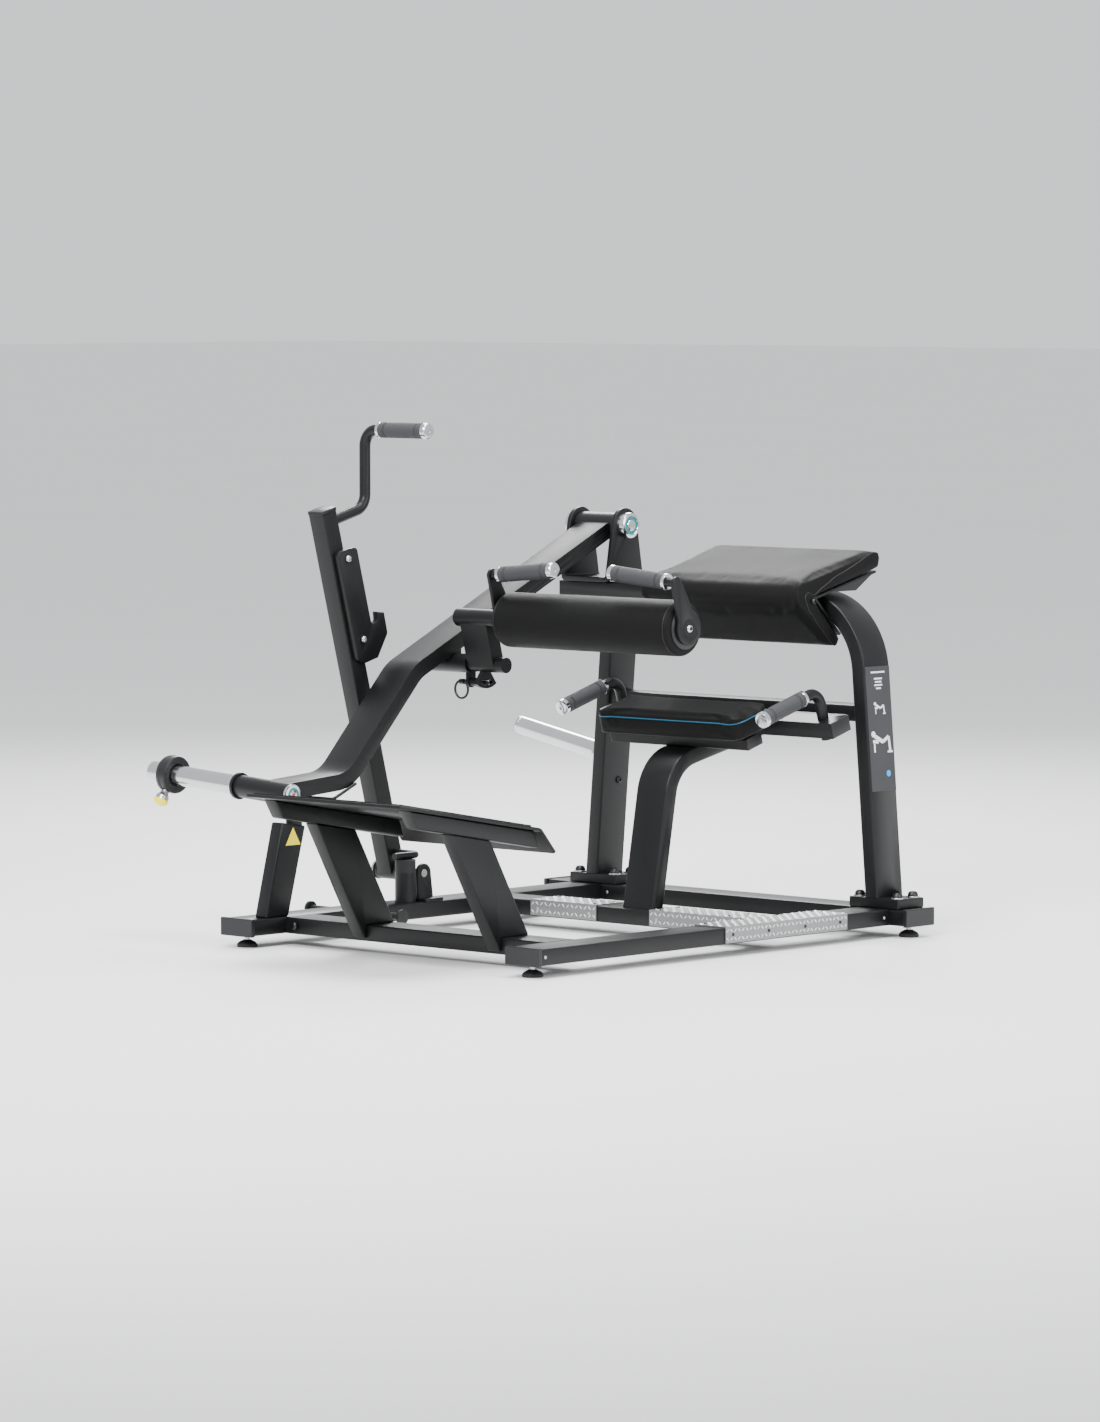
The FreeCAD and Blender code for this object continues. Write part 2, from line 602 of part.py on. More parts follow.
def lever():
    hub_half = LUG_GAP / 2 - HUB_SIDE_GAP
    hub = x_rod(ARM_X - hub_half, ARM_X + hub_half, PIVOT_Y, PIVOT_Z, HUB_R)
    bore = x_rod(ARM_X - hub_half, ARM_X + hub_half, PIVOT_Y, PIVOT_Z, PIVOT_R + FIT)
    path = [V(ARM_X, PIVOT_Y, PIVOT_Z), V(ARM_X, *ARM_KNEE), V(ARM_X, *ARM_HEEL), V(ARM_X, *arm_end())]
    arm = bent_tube(path, ARM_BEND_R, BEAM_H, BEAM_W, WALL, X_AXIS)
    arm = arm.cut(hub).cut(rod(horn_point(0), horn_point(HORN_TUBE), HORN_TUBE_R))
    tube = pipe(horn_point(HORN_CAP_T), horn_point(HORN_TUBE), HORN_TUBE_R, SLEEVE_BORE)
    flange = pipe(horn_point(HORN_TUBE - HORN_FLANGE_T), horn_point(HORN_TUBE), HORN_FLANGE_R, SLEEVE_BORE)
    cap = rod(horn_point(0), horn_point(HORN_CAP_T), HORN_TUBE_R - 1)
    end = HORN_TUBE + SLEEVE_L
    sleeve = pipe(horn_point(HORN_TUBE), horn_point(end), SLEEVE_R, SLEEVE_BORE)
    plug = rod(horn_point(end - HORN_CAP_T), horn_point(end), SLEEVE_BORE)
    return {"lever_arm": arm, "lever_hub": hub.cut(bore),
            "weight_tube": group([tube.fuse(flange).removeSplitter(), cap.makeFillet(2, rims(cap))]),
            "weight_sleeve": sleeve.fuse(plug).removeSplitter(),
            "catch_pin": x_rod(ARM_FAR - CATCH_L, ARM_FAR, CATCH_Y, arm_middle(CATCH_Y), CATCH_R),
            "lift_loop": lift_loop()}

def lift_loop():
    """Bent rod loop welded to both sides of the arm at its lower bend."""
    rear_y, front_y = ARM_HEEL[0] + 16, ARM_HEEL[0] - 62
    root_z, low_z = ARM_HEEL[1] - 8, ARM_HEEL[1] - BEAM_H / 2 - 22
    x0, x1 = ARM_FAR - LOOP_R, ARM_NEAR + LOOP_R
    path = [V(x0, rear_y, root_z), V(x0, front_y, low_z), V(x1, front_y, low_z), V(x1, rear_y, root_z)]
    return bent_rod(path, [10, 10], LOOP_R)

def knob_axis():
    """Square to the weight sleeve, down and towards the foot end."""
    turn = math.radians(KNOB_TURN)
    down = x_arrow(HORN_TILT).cross(Y_AXIS)
    return (down * math.cos(turn) - Y_AXIS * math.sin(turn)).normalize()

def plate_collar():
    """Spring collar that holds the weight plates, and its pull knob."""
    middle = horn_point(HORN_TUBE + COLLAR_AT)
    half = x_arrow(HORN_TILT) * (COLLAR_L / 2)
    ring = rod(middle - half, middle + half, COLLAR_R)
    ring = ring.makeFillet(4, rims(ring)).cut(rod(middle - half, middle + half, SLEEVE_R + COLLAR_GAP))
    out = knob_axis()
    ring = ring.cut(rod(middle, middle + out * KNOB_START, KNOB_PIN_R + FIT))
    pin = rod(middle + out * (SLEEVE_R + COLLAR_GAP), middle + out * KNOB_START, KNOB_PIN_R)
    neck = rod(middle + out * KNOB_NECK_END, middle + out * KNOB_START, KNOB_NECK_R)
    head = rod(middle + out * KNOB_START, middle + out * (KNOB_START + KNOB_L), KNOB_R)
    knob = pin.fuse([neck, head.makeFillet(2, rims(head))]).removeSplitter()
    return {"plate_collar": ring, "collar_knob": knob}

def lever_rest():
    """Leaning post on the far side beam, and the bumper that the lever rests on."""
    top_y, top_z = REST_TOP
    walls = [(REST_FOOT_Y, BEAM_TOP), (REST_FOOT_Y + REST_DEPTH, BEAM_TOP),
             (top_y + REST_DEPTH, top_z - REST_TOP_DROP), REST_TOP]
    post = section_yz(walls, REST_X - BEAM_H / 2, REST_X + BEAM_H / 2)
    end_y, end_z = arm_end()
    slope = (ARM_HEEL[1] - end_z) / (ARM_HEEL[0] - end_y)
    under = end_z + (REST_BUMPER_Y - REST_BUMPER_R - end_y) * slope - BEAM_H / 2 * math.hypot(1, slope)
    bumper = rod(V(REST_X, REST_BUMPER_Y, top_z - REST_TOP_DROP),
                 V(REST_X, REST_BUMPER_Y, under - REST_GAP), REST_BUMPER_R)
    return {"arm_rest_post": post}, bumper.cut(post)

# ---------------------------------------------------------------- roller and its carrier
def below_pivot(angle, reach):
    """Point (y, z) at reach from the carrier pivot, angle degrees from straight down."""
    a = math.radians(angle)
    return CARRIER_Y + reach * math.sin(a), CARRIER_Z - reach * math.cos(a)

def pie(half_angle, reach):
    return section_yz([(CARRIER_Y, CARRIER_Z), below_pivot(-half_angle, reach), below_pivot(0, 1.5 * reach),
                       below_pivot(half_angle, reach)], *SECTOR_X)

def sector_slot(r):
    """Curved slot cutter about the carrier pivot, centred straight below it."""
    x0, x1 = SECTOR_X
    p, q = V(x0, CARRIER_Y, CARRIER_Z), V(x1, CARRIER_Y, CARRIER_Z)
    ring = pipe(p, q, PLUNGER_RADIUS + r, PLUNGER_RADIUS - r)
    ends = [x_rod(x0, x1, *below_pivot(a, PLUNGER_RADIUS), r) for a in (-SLOT_HALF, SLOT_HALF)]
    return ring.common(pie(SLOT_HALF, 2 * PLUNGER_RADIUS)).fuse(ends)

def carrier_housing():
    """Bearing tube under the arm, its saddle, and the plate and barrel of the pull plunger."""
    tube = x_rod(HOUSING_FAR, INDEX_X[0], CARRIER_Y, CARRIER_Z, HOUSING_R)
    inset, half = 6.0, 20.0
    saddle = box(ARM_FAR + inset, ARM_NEAR - inset, CARRIER_Y - half, CARRIER_Y + half, CARRIER_Z,
                 CARRIER_Z + 2 * BEAM_H)
    ends = [(y, arm_middle(y)) for y in (CARRIER_Y - BEAM_W, CARRIER_Y + BEAM_W)]
    arm = flat_bar(*ends, BEAM_H, ARM_FAR, ARM_NEAR)
    saddle = saddle.cut(arm.fuse(arm.translated(V(0, 0, BEAM_H))))
    drop_z = CARRIER_Z - PLUNGER_RADIUS
    web = BARREL_R + 3
    plate = x_rod(*INDEX_X, CARRIER_Y, CARRIER_Z, HOUSING_R + 2).fuse(
        [x_rod(*INDEX_X, CARRIER_Y, drop_z, web),
         box(*INDEX_X, CARRIER_Y - web, CARRIER_Y + web, drop_z, CARRIER_Z)])
    barrel_end = INDEX_X[1] + BARREL_L
    barrel = x_rod(INDEX_X[1], barrel_end, CARRIER_Y, drop_z, BARREL_R)
    body = tube.fuse([saddle, plate, barrel]).removeSplitter()
    body = body.cut(x_rod(HOUSING_FAR, INDEX_X[1], CARRIER_Y, CARRIER_Z, CARRIER_PIN_R + FIT))
    return {"carrier_housing": body.cut(x_rod(INDEX_X[0], barrel_end, CARRIER_Y, drop_z, PLUNGER_R + FIT))}

def pull_plunger():
    """Pin that stands in the curved slot, with its pull ring on the far side."""
    z = CARRIER_Z - PLUNGER_RADIUS
    tip, tail, eye_l = SECTOR_X[1] + 3, INDEX_X[0] - 18, 14.0
    pin = x_rod(tail, tip, CARRIER_Y, z, PLUNGER_R)
    eye = x_rod(tail - eye_l, tail, CARRIER_Y, z, PLUNGER_R + 2)
    ring = Part.makeTorus(RING_R, RING_WIRE, V(tail - eye_l + 4, CARRIER_Y, z - RING_R + 2), Y_AXIS)
    return {"pull_plunger": pin.fuse([eye, ring]).removeSplitter()}

def handle_root(side):
    """Middle of the top lobe of a handle plate; side is +1 near, -1 far."""
    x = side * (ROLLER_HALF + HANDLE_GAP + HANDLE_PLATE_T / 2)
    return V(x, ROLLER_Y - HANDLE_FORE, ROLLER_Z + HANDLE_RISE)

def roller_plate(side):
    """Club-shaped plate from the shaft end to a handle."""
    x0, x1 = sorted((side * (ROLLER_HALF + HANDLE_GAP), side * (ROLLER_HALF + HANDLE_GAP + HANDLE_PLATE_T)))
    top = handle_root(side)
    rise = math.degrees(math.atan2(HANDLE_RISE, -HANDLE_FORE))
    waist = [along((ROLLER_Y, ROLLER_Z), rise, 0, k) for k in (0.8 * HANDLE_LOBE_R, -0.8 * HANDLE_LOBE_R)]
    head = [along((top.y, top.z), rise, 0, k) for k in (-HANDLE_TOP_R, HANDLE_TOP_R)]
    lobes = [x_rod(x0, x1, top.y, top.z, HANDLE_TOP_R), section_yz(waist + head, x0, x1)]
    return x_rod(x0, x1, ROLLER_Y, ROLLER_Z, HANDLE_LOBE_R).fuse(lobes).removeSplitter()

def roller():
    pad = x_rod(-ROLLER_HALF, ROLLER_HALF, ROLLER_Y, ROLLER_Z, ROLLER_R)
    pad = pad.makeFillet(18, rims(pad)).cut(
        x_rod(-ROLLER_HALF, ROLLER_HALF, ROLLER_Y, ROLLER_Z, SHAFT_R + FIT))
    end = ROLLER_HALF + HANDLE_GAP + HANDLE_PLATE_T
    shaft = x_rod(SHAFT_FAR_END, end, ROLLER_Y, ROLLER_Z, SHAFT_R)
    link = flat_bar((ROLLER_Y, ROLLER_Z), (CARRIER_Y, CARRIER_Z), CARRIER_T, *CARRIER_X)
    foot = x_rod(INDEX_X[1] + HUB_SIDE_GAP, CARRIER_TUBE_END, CARRIER_Y, CARRIER_Z, CARRIER_TUBE_R)
    pin = x_rod(HOUSING_FAR, CARRIER_TUBE_END, CARRIER_Y, CARRIER_Z, CARRIER_PIN_R)
    fan = x_rod(*SECTOR_X, CARRIER_Y, CARRIER_Z, SECTOR_R).common(pie(SECTOR_HALF, 2 * SECTOR_R))
    slot_play = 0.4
    fan = fan.cut(sector_slot(PLUNGER_R + slot_play))
    carrier = shaft.fuse([link, foot, pin, fan]).removeSplitter()
    carrier = carrier.cut(x_rod(SHAFT_FAR_END, end - CAP_T, ROLLER_Y, ROLLER_Z, SHAFT_R - SHAFT_WALL))
    tilt = math.radians(HANDLE_TILT)
    length = (ROLLER_HALF + HANDLE_GAP + HANDLE_PLATE_T / 2 - HANDLE_INNER) / math.cos(tilt)
    plates, grips = [], []
    for side in (1, -1):
        root, way = handle_root(side), V(-side * math.cos(tilt), 0, math.sin(tilt))
        cap = root + way * (length - GRIP_CAP_L)
        plates.append(roller_plate(side).fuse(rod(root, cap, GRIP_TUBE_R)).cut(shaft).removeSplitter())
        grips.append(pipe(root + way * HANDLE_GRIP_START, cap, GRIP_R, GRIP_TUBE_R))
        grips.append(rod(cap, root + way * length, GRIP_CAP_R))
    return {"roller_pad": pad, "roller_carrier": carrier, "roller_handles": group(plates),
            "roller_grips": group(grips)}

# ---------------------------------------------------------------- rack that holds the lever up
def rack_point(s, n):
    """Point (y, z) at s up the upright from its pivot and n towards the head end."""
    a = math.radians(RACK_LEAN)
    return RACK_Y - s * math.sin(a) + n * math.cos(a), RACK_Z + s * math.cos(a) + n * math.sin(a)

def rack():
    half = RACK_TUBE / 2
    x0, x1 = RACK_X - half, RACK_X + half

    def slab(s0, s1, inset):
        n = half - inset
        corners = [rack_point(s0, -n), rack_point(s0, n), rack_point(s1, n), rack_point(s1, -n)]
        return section_yz(corners, x0 + inset, x1 - inset)
    hub_x = (x0 - RACK_HUB_OUT, FAR_X - BEAM_W / 2 - RACK_HUB_SIDE)
    hub = x_rod(*hub_x, RACK_Y, RACK_Z, RACK_HUB_R)
    top = RACK_TOP - RACK_CAP_T
    tube = slab(0, top, 0).cut(slab(0, top, WALL)).cut(hub)
    return {"rack_upright": group([tube, slab(top, RACK_TOP, -1)]),
            "rack_hub": hub.cut(x_rod(*hub_x, RACK_Y, RACK_Z, RACK_PIN_R + FIT)),
            "rack_hook": rack_hook(x1), "rack_handle": rack_handle(), "rack_grip": rack_grip(),
            "rack_stop_rod": stop_rod(x1)}

def rack_hook(face):
    """J-shaped plate bolted to the near side of the upright; its mouth opens upwards."""
    front = HOOK_SET - RACK_TUBE / 2
    rear = front + HOOK_W
    floor, lip = HOOK_MOUTH - HOOK_R, rear + 2 * HOOK_R
    corners = [(HOOK_LOW + 16, front, 8), (HOOK_HIGH, front, 12), (HOOK_HIGH - 6, rear, 12),
               (floor, rear, HOOK_R - 1), (floor, lip, HOOK_R - 1), (HOOK_MOUTH + 14, lip + 4, 0),
               (HOOK_MOUTH + 5, lip + 28, 3), (HOOK_MOUTH - 49, lip + 27, 14), (HOOK_LOW, rear, 8),
               (HOOK_LOW, front + 22, 6)]
    hook = section_yz([rack_point(s, n) + (r,) for s, n, r in corners], face, face + HOOK_T)
    bolts = [x_rod(face + HOOK_T, face + HOOK_T + 3, *rack_point(s, front + 31), 9)
             for s in (HOOK_HIGH - 26, HOOK_LOW + 60)]
    return group([hook] + bolts)

def rack_handle():
    """Tube from the rear face of the upright, up, and across to the grip."""
    start = rack_point(RACK_BAR_AT, RACK_TUBE / 2)
    turn_z = start[1] + (RACK_BAR_Y - start[0]) * math.tan(math.radians(RACK_LEAN))
    points = [V(RACK_X, *start), V(RACK_X, RACK_BAR_Y, turn_z), V(RACK_X, RACK_BAR_Y, RACK_BAR_Z),
              V(RACK_GRIP[1] - GRIP_CAP_L, RACK_BAR_Y, RACK_BAR_Z)]
    return bent_rod(points, [RACK_BEND, RACK_BEND], RACK_BAR_R)

def rack_grip():
    end = RACK_GRIP[1] - GRIP_CAP_L
    sleeve = pipe(V(RACK_GRIP[0], RACK_BAR_Y, RACK_BAR_Z), V(end, RACK_BAR_Y, RACK_BAR_Z), GRIP_R, RACK_BAR_R)
    return group([sleeve, x_rod(end, RACK_GRIP[1], RACK_BAR_Y, RACK_BAR_Z, GRIP_CAP_R)])

def stop_rod(face):
    """Bent rod on the upright that comes down on the stop post."""
    z = BEAM_TOP + STOP_H + REST_GAP + STOP_ROD_R
    y = rack_point((z - RACK_Z) / math.cos(math.radians(RACK_LEAN)), 0)[0]
    return bent_rod([V(face, y, z), V(STOP_X, y, z), V(STOP_X, STOP_Y - 1.5 * STOP_R, z)], [20], STOP_ROD_R)

def rack_base():
    """Stop post, pivot bracket and pin on the far side beam, and the stop bumper."""
    far, near = FAR_X - BEAM_W / 2, FAR_X + BEAM_W / 2
    floor_t, edge, play, washer_t = 8.0, 4.0, 4.0, 6.0
    ears = []
    for x in (far, far + EAR_T + EAR_GAP):
        ears.append(x_rod(x, x + EAR_T, RACK_Y, RACK_Z, EAR_R))
        ears.append(section_yz([(EAR_PLATE[0] + edge, BEAM_TOP), (EAR_PLATE[1] - edge, BEAM_TOP),
                                (RACK_Y + EAR_R, RACK_Z), (RACK_Y - EAR_R, RACK_Z)], x, x + EAR_T))
    pin_far = RACK_X - RACK_TUBE / 2 - RACK_HUB_OUT - play
    pin = x_rod(pin_far, far + 2 * EAR_T + EAR_GAP, RACK_Y, RACK_Z, RACK_PIN_R)
    washer = x_rod(pin_far - washer_t, pin_far, RACK_Y, RACK_Z, EAR_R)
    bracket = box(far, near, *EAR_PLATE, BEAM_TOP, BEAM_TOP + floor_t).fuse(ears).cut(pin).removeSplitter()
    joint_z, top_z = BEAM_TOP + STOP_H - STOP_BUMPER, BEAM_TOP + STOP_H
    post = rod(V(STOP_X, STOP_Y, BEAM_TOP), V(STOP_X, STOP_Y, joint_z), STOP_R)
    bumper = rod(V(STOP_X, STOP_Y, joint_z), V(STOP_X, STOP_Y, top_z), STOP_R)
    return {"rack_pivot_bracket": bracket, "rack_pivot_pin": pin.fuse(washer).removeSplitter(),
            "rack_stop_post": post}, bumper

# ---------------------------------------------------------------- seat
def seat_point(u, v):
    return along((SEAT_Y, SEAT_Z), SEAT_TILT, u, v)

def seat_box(u0, u1, v0, v1, half):
    return section_yz([seat_point(u0, v0), seat_point(u1, v0), seat_point(u1, v1), seat_point(u0, v1)],
                      -half, half)

def seat_tube(u0, u1, v0, v1, half):
    return seat_box(u0, u1, v0, v1, half).cut(seat_box(u0 + WALL, u1 - WALL, v0 + WALL, v1 - WALL, half))

def seat_post():
    """Bent flat tube: up from the middle beam, then back under the seat to the tie bar."""
    front = seat_point(SEAT_BAR[0], -SEAT_T - SEAT_BAR_T)
    back = seat_point(CROSSBAR[0], -CROSSBAR_DROP - BEAM_H)
    slope = (back[1] - front[1]) / (back[0] - front[0])
    drop = BEAM_H / 2 * math.hypot(1, slope)
    lean = math.tan(math.radians(SEAT_POST_LEAN))
    foot_y = SEAT_POST_Y + BEAM_H / 2 * math.hypot(1, lean)
    bend_z = (front[1] - drop + slope * (foot_y - lean * BEAM_TOP - front[0])) / (1 - slope * lean)
    bend_y = foot_y + lean * (bend_z - BEAM_TOP)
    end_y = front[0] + (TIE_Z - front[1]) / slope
    below = 12.0
    path = [V(0, foot_y - below * lean, BEAM_TOP - below), V(0, bend_y, bend_z), V(0, end_y, TIE_Z - drop)]
    tube = bent_tube(path, SEAT_POST_R, BEAM_H, BEAM_W, WALL, X_AXIS)
    return tube.cut(box(-BEAM_W, BEAM_W, 0, REAR_Y, 0, BEAM_TOP))

def seat():
    pad = seat_box(*SEAT_DEPTH, -SEAT_T, 0, SEAT_HALF)
    low = -CROSSBAR_DROP - BEAM_H - SEAT_STUB
    middle = sum(CROSSBAR) / 2
    crossbar = seat_tube(*CROSSBAR, -CROSSBAR_DROP - BEAM_H, -CROSSBAR_DROP, CROSSBAR_HALF)
    handles, grips = [], []
    for x in (SEAT_HANDLE_X, -SEAT_HANDLE_X):
        cap, front, back = (V(x, *seat_point(u, SEAT_HANDLE_UP)) for u in (
            SEAT_GRIP[0], SEAT_GRIP[0] + GRIP_CAP_L, SEAT_GRIP[1]))
        foot, top = V(x, *seat_point(middle, low)), V(x, *seat_point(middle, SEAT_HANDLE_UP))
        handles.append(bent_rod([foot, top, front], [SEAT_HANDLE_BEND], SEAT_HANDLE_R))
        crossbar = crossbar.cut(rod(foot, top, SEAT_HANDLE_R))
        grips.append(pipe(front, back, GRIP_R, SEAT_HANDLE_R))
        grips.append(rod(cap, front, GRIP_CAP_R))
    return {"seat_pad": pad.makeFillet(SEAT_EDGE_R, pad.Edges), "seat_post": seat_post(),
            "seat_crossbar": crossbar,
            "seat_front_bar": seat_tube(*SEAT_BAR, -SEAT_T - SEAT_BAR_T, -SEAT_T, SEAT_BAR_HALF),
            "seat_handles": group(handles), "seat_grips": group(grips)}

# ---------------------------------------------------------------- back pad
def pad_backs():
    """Rear lower corners of the two legs of the pad."""
    upper = math.degrees(math.atan2(PAD_REAR[1] - PAD_FRONT[1], PAD_REAR[0] - PAD_FRONT[0]))
    lower = math.degrees(math.atan2(PAD_LOW[1] - PAD_NOSE[1], PAD_LOW[0] - PAD_NOSE[0]))
    return along(PAD_REAR, upper, -18, -PAD_UPPER_T), along(PAD_LOW, lower, -4, PAD_LOWER_T)

def back_pad():
    rear_low, low_rear = pad_backs()
    section = [PAD_REAR + (18,), PAD_FRONT + (26,), PAD_NOSE + (26,), PAD_LOW + (12,), low_rear + (12,),
               PAD_BEND, rear_low + (12,)]
    return {"back_pad": section_yz(section, -PAD_HALF, PAD_HALF)}

def back_pad_bracket():
    """Two boards behind the pad, the gussets under the upper one and the blocks on the gantry."""
    rear_low, low_rear = pad_backs()
    rise = math.degrees(math.atan2(rear_low[1] - PAD_BEND[1], rear_low[0] - PAD_BEND[0]))
    fall = math.degrees(math.atan2(low_rear[1] - PAD_BEND[1], low_rear[0] - PAD_BEND[0]))
    half, start, sunk = PAD_HALF - 6, 8.0, BOARD_T / 2

    def up(s, n):
        return along(PAD_BEND, rise, s, n)

    def down(s, n):
        return along(PAD_BEND, fall, s, n)
    upper = section_yz([up(start, 0), up(BOARD_UP, 0), up(BOARD_UP, -BOARD_T), up(start, -BOARD_T)],
                       -half, half)
    pieces = [section_yz([down(start, 0), down(BOARD_DOWN, 0), down(BOARD_DOWN, BOARD_T),
                          down(start, BOARD_T)], -half, half),
              section_yz([PAD_BEND, up(start + 4, 0), up(start + 4, -BOARD_T), down(start + 4, BOARD_T),
                          down(start + 4, 0)], -half, half)]
    for x in GUSSET_X:
        pieces.append(section_yz([up(30, -sunk), up(BOARD_UP - 10, -sunk), (REAR_END, GANTRY_TOP),
                                  (REAR_Y, GANTRY_TOP)], x - GUSSET_T / 2, x + GUSSET_T / 2))
    for x in GUSSET_X[:2]:
        pieces.append(section_yz([down(10, sunk), down(34, sunk), (REAR_Y, GANTRY_LOW + 4),
                                  (REAR_Y, GANTRY_TOP - 4)], x - 20, x + 20))
    return {"back_pad_bracket": upper.fuse(pieces).removeSplitter()}

# ---------------------------------------------------------------- foot plate
def plate_point(s, n):
    return along(FOOT_PLATE_TOP, -FOOT_TILT, s, n)

def foot_plate():
    """Tilted plate with a turned-down rear lip, its mat, rails and posts."""
    turn = math.radians(LIP_TURN)
    tip = (FOOT_PLATE_L + LIP_L * math.cos(turn), -LIP_L * math.sin(turn))
    tip_in = (tip[0] - FOOT_PLATE_T * math.sin(turn), tip[1] - FOOT_PLATE_T * math.cos(turn))
    inner = FOOT_PLATE_L - FOOT_PLATE_T * math.tan(turn / 2)
    corners = [plate_point(0, 0), plate_point(FOOT_PLATE_L, 0) + (LIP_R + FOOT_PLATE_T,), plate_point(*tip),
               plate_point(*tip_in), plate_point(inner, -FOOT_PLATE_T) + (LIP_R,),
               plate_point(0, -FOOT_PLATE_T)]
    mat_end = FOOT_PLATE_L - 2 * MAT_EDGE
    mat = section_yz([plate_point(MAT_EDGE, 0), plate_point(mat_end, 0), plate_point(mat_end, MAT_T),
                      plate_point(MAT_EDGE, MAT_T)], FOOT_PLATE_X[0] + MAT_EDGE, FOOT_PLATE_X[1] - MAT_EDGE)
    top, low = -FOOT_PLATE_T, -FOOT_PLATE_T - RAIL_H
    rail = [plate_point(RAIL_TOP[0], top), plate_point(RAIL_TOP[1], top), plate_point(RAIL_BOTTOM[1], low),
            plate_point(RAIL_BOTTOM[0], low)]
    post = foot_post_corners(low)
    spans = [(x - RAIL_W / 2, x + RAIL_W / 2) for x in RAIL_X]
    return {"foot_plate": section_yz(corners, *FOOT_PLATE_X), "foot_plate_mat": mat,
            "footplate_rails": group([section_yz(rail, *span) for span in spans]),
            "footplate_posts": group([section_yz(post, *span) for span in spans])}

def foot_post_corners(low):
    """A leaning bar that stands on the front beam and hangs over its front face."""
    lean = math.tan(math.radians(FOOT_POST_LEAN))
    depth = FOOT_POST_DEPTH / math.cos(math.radians(FOOT_POST_LEAN))
    toe_y, toe_z = FOOT_POST_TOE
    fall = -math.tan(math.radians(FOOT_TILT))
    rail_y, rail_z = plate_point(0, low)

    def meet(y0, z0):
        """Where a post edge through (y0, z0) reaches the underside of the rail."""
        z = (rail_z + fall * (y0 + lean * z0 - rail_y)) / (1 + fall * lean)
        return y0 - lean * (z - z0), z
    back_y = toe_y - lean * (BEAM_TOP - toe_z) + depth
    return [FOOT_POST_TOE, (FRONT_Y, toe_z), (FRONT_Y, BEAM_TOP), (back_y, BEAM_TOP),
            meet(back_y, BEAM_TOP), meet(toe_y, toe_z)]

# ---------------------------------------------------------------- all of it
def build():
    nodes = {}
    for make in (base_frame, tread_plates, fasteners, gantry, tie_bar, placard, storage_horn, pivot, lever,
                 plate_collar, carrier_housing, pull_plunger, roller, rack, seat, back_pad,
                 back_pad_bracket, foot_plate):
        nodes.update(make())
    rest, rest_bumper = lever_rest()
    base, stop_bumper = rack_base()
    nodes.update(rest)
    nodes.update(base)
    nodes["rubber_bumpers"] = group([rest_bumper, stop_bumper])
    for name in ("back_pad", "back_pad_bracket"):
        nodes[name] = nodes[name].cut(nodes["gantry"])
    return nodes

def origin_shift(nodes):
    """Move from the working axes to the middle of the footprint."""
    whole = Part.makeCompound(list(nodes.values())).BoundBox
    return V(-(whole.XMin + whole.XMax) / 2, -(whole.YMin + whole.YMax) / 2, -whole.ZMin)

NODES = build()
SHIFT = origin_shift(NODES)

os.makedirs("parts", exist_ok=True)
for name, shape in NODES.items():
    placed = shape.copy()
    placed.translate(SHIFT)
    placed.exportStep(os.path.join("parts", name + ".step"))
print(len(NODES), "nodes, shift", [round(c, 2) for c in SHIFT])
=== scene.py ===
"""Plate-loaded hip thrust machine: finishes, pads, grips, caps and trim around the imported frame."""
import json
import math

import bmesh
import bpy
from bpy.props import FloatProperty, FloatVectorProperty, IntProperty, PointerProperty
from mathutils import Matrix, Vector

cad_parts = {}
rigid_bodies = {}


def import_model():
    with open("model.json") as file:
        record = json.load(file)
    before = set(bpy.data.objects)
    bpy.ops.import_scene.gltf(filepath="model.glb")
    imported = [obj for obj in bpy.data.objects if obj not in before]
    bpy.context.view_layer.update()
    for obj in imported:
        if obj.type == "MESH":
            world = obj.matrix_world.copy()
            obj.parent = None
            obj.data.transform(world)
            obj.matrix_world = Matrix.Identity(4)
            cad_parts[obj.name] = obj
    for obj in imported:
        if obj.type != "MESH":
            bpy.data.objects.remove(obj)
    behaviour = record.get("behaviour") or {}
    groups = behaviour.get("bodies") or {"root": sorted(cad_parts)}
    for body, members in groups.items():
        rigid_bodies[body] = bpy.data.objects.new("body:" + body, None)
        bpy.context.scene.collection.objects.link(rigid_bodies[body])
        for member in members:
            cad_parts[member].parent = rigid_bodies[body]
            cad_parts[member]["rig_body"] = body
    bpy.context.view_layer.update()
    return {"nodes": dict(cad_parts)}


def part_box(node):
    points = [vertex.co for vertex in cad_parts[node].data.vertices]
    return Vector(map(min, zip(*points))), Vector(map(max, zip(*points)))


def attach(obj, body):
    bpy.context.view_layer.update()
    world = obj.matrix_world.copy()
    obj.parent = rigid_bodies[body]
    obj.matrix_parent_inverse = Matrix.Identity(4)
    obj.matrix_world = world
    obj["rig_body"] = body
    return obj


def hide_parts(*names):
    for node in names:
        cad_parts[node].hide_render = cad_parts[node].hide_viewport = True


bl_info = {
    "name": "Hip Thrust Machine",
    "version": (1, 0, 0),
    "blender": (4, 5, 0),
    "location": "View3D > Sidebar > Hip Thrust",
    "description": "Builds the pads, grips, caps, trim and finishes of a hip thrust machine",
    "category": "Object",
}

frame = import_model()
NODES = frame["nodes"]
MM = 0.001
X, Y, Z = Vector((1, 0, 0)), Vector((0, 1, 0)), Vector((0, 0, 1))


# ---------------------------------------------------------------- places read from the frame
def box_mid(node):
    low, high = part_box(node)
    return (low + high) / 2


DATUM = Vector((box_mid("seat_pad").x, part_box("beam_end_caps")[0].y, 0))


def at(x, y, z):
    """Place in metres from millimetres: x from the middle of the seat, y from the front cap, z from the floor."""
    return DATUM + Vector((x, y, z)) * MM


def slant(origin, angle, s, n):
    """Place (y, z) at s along and n above a line that rises by angle degrees from origin."""
    c, k = math.cos(math.radians(angle)), math.sin(math.radians(angle))
    return origin[0] + s * c - n * k, origin[1] + s * k + n * c


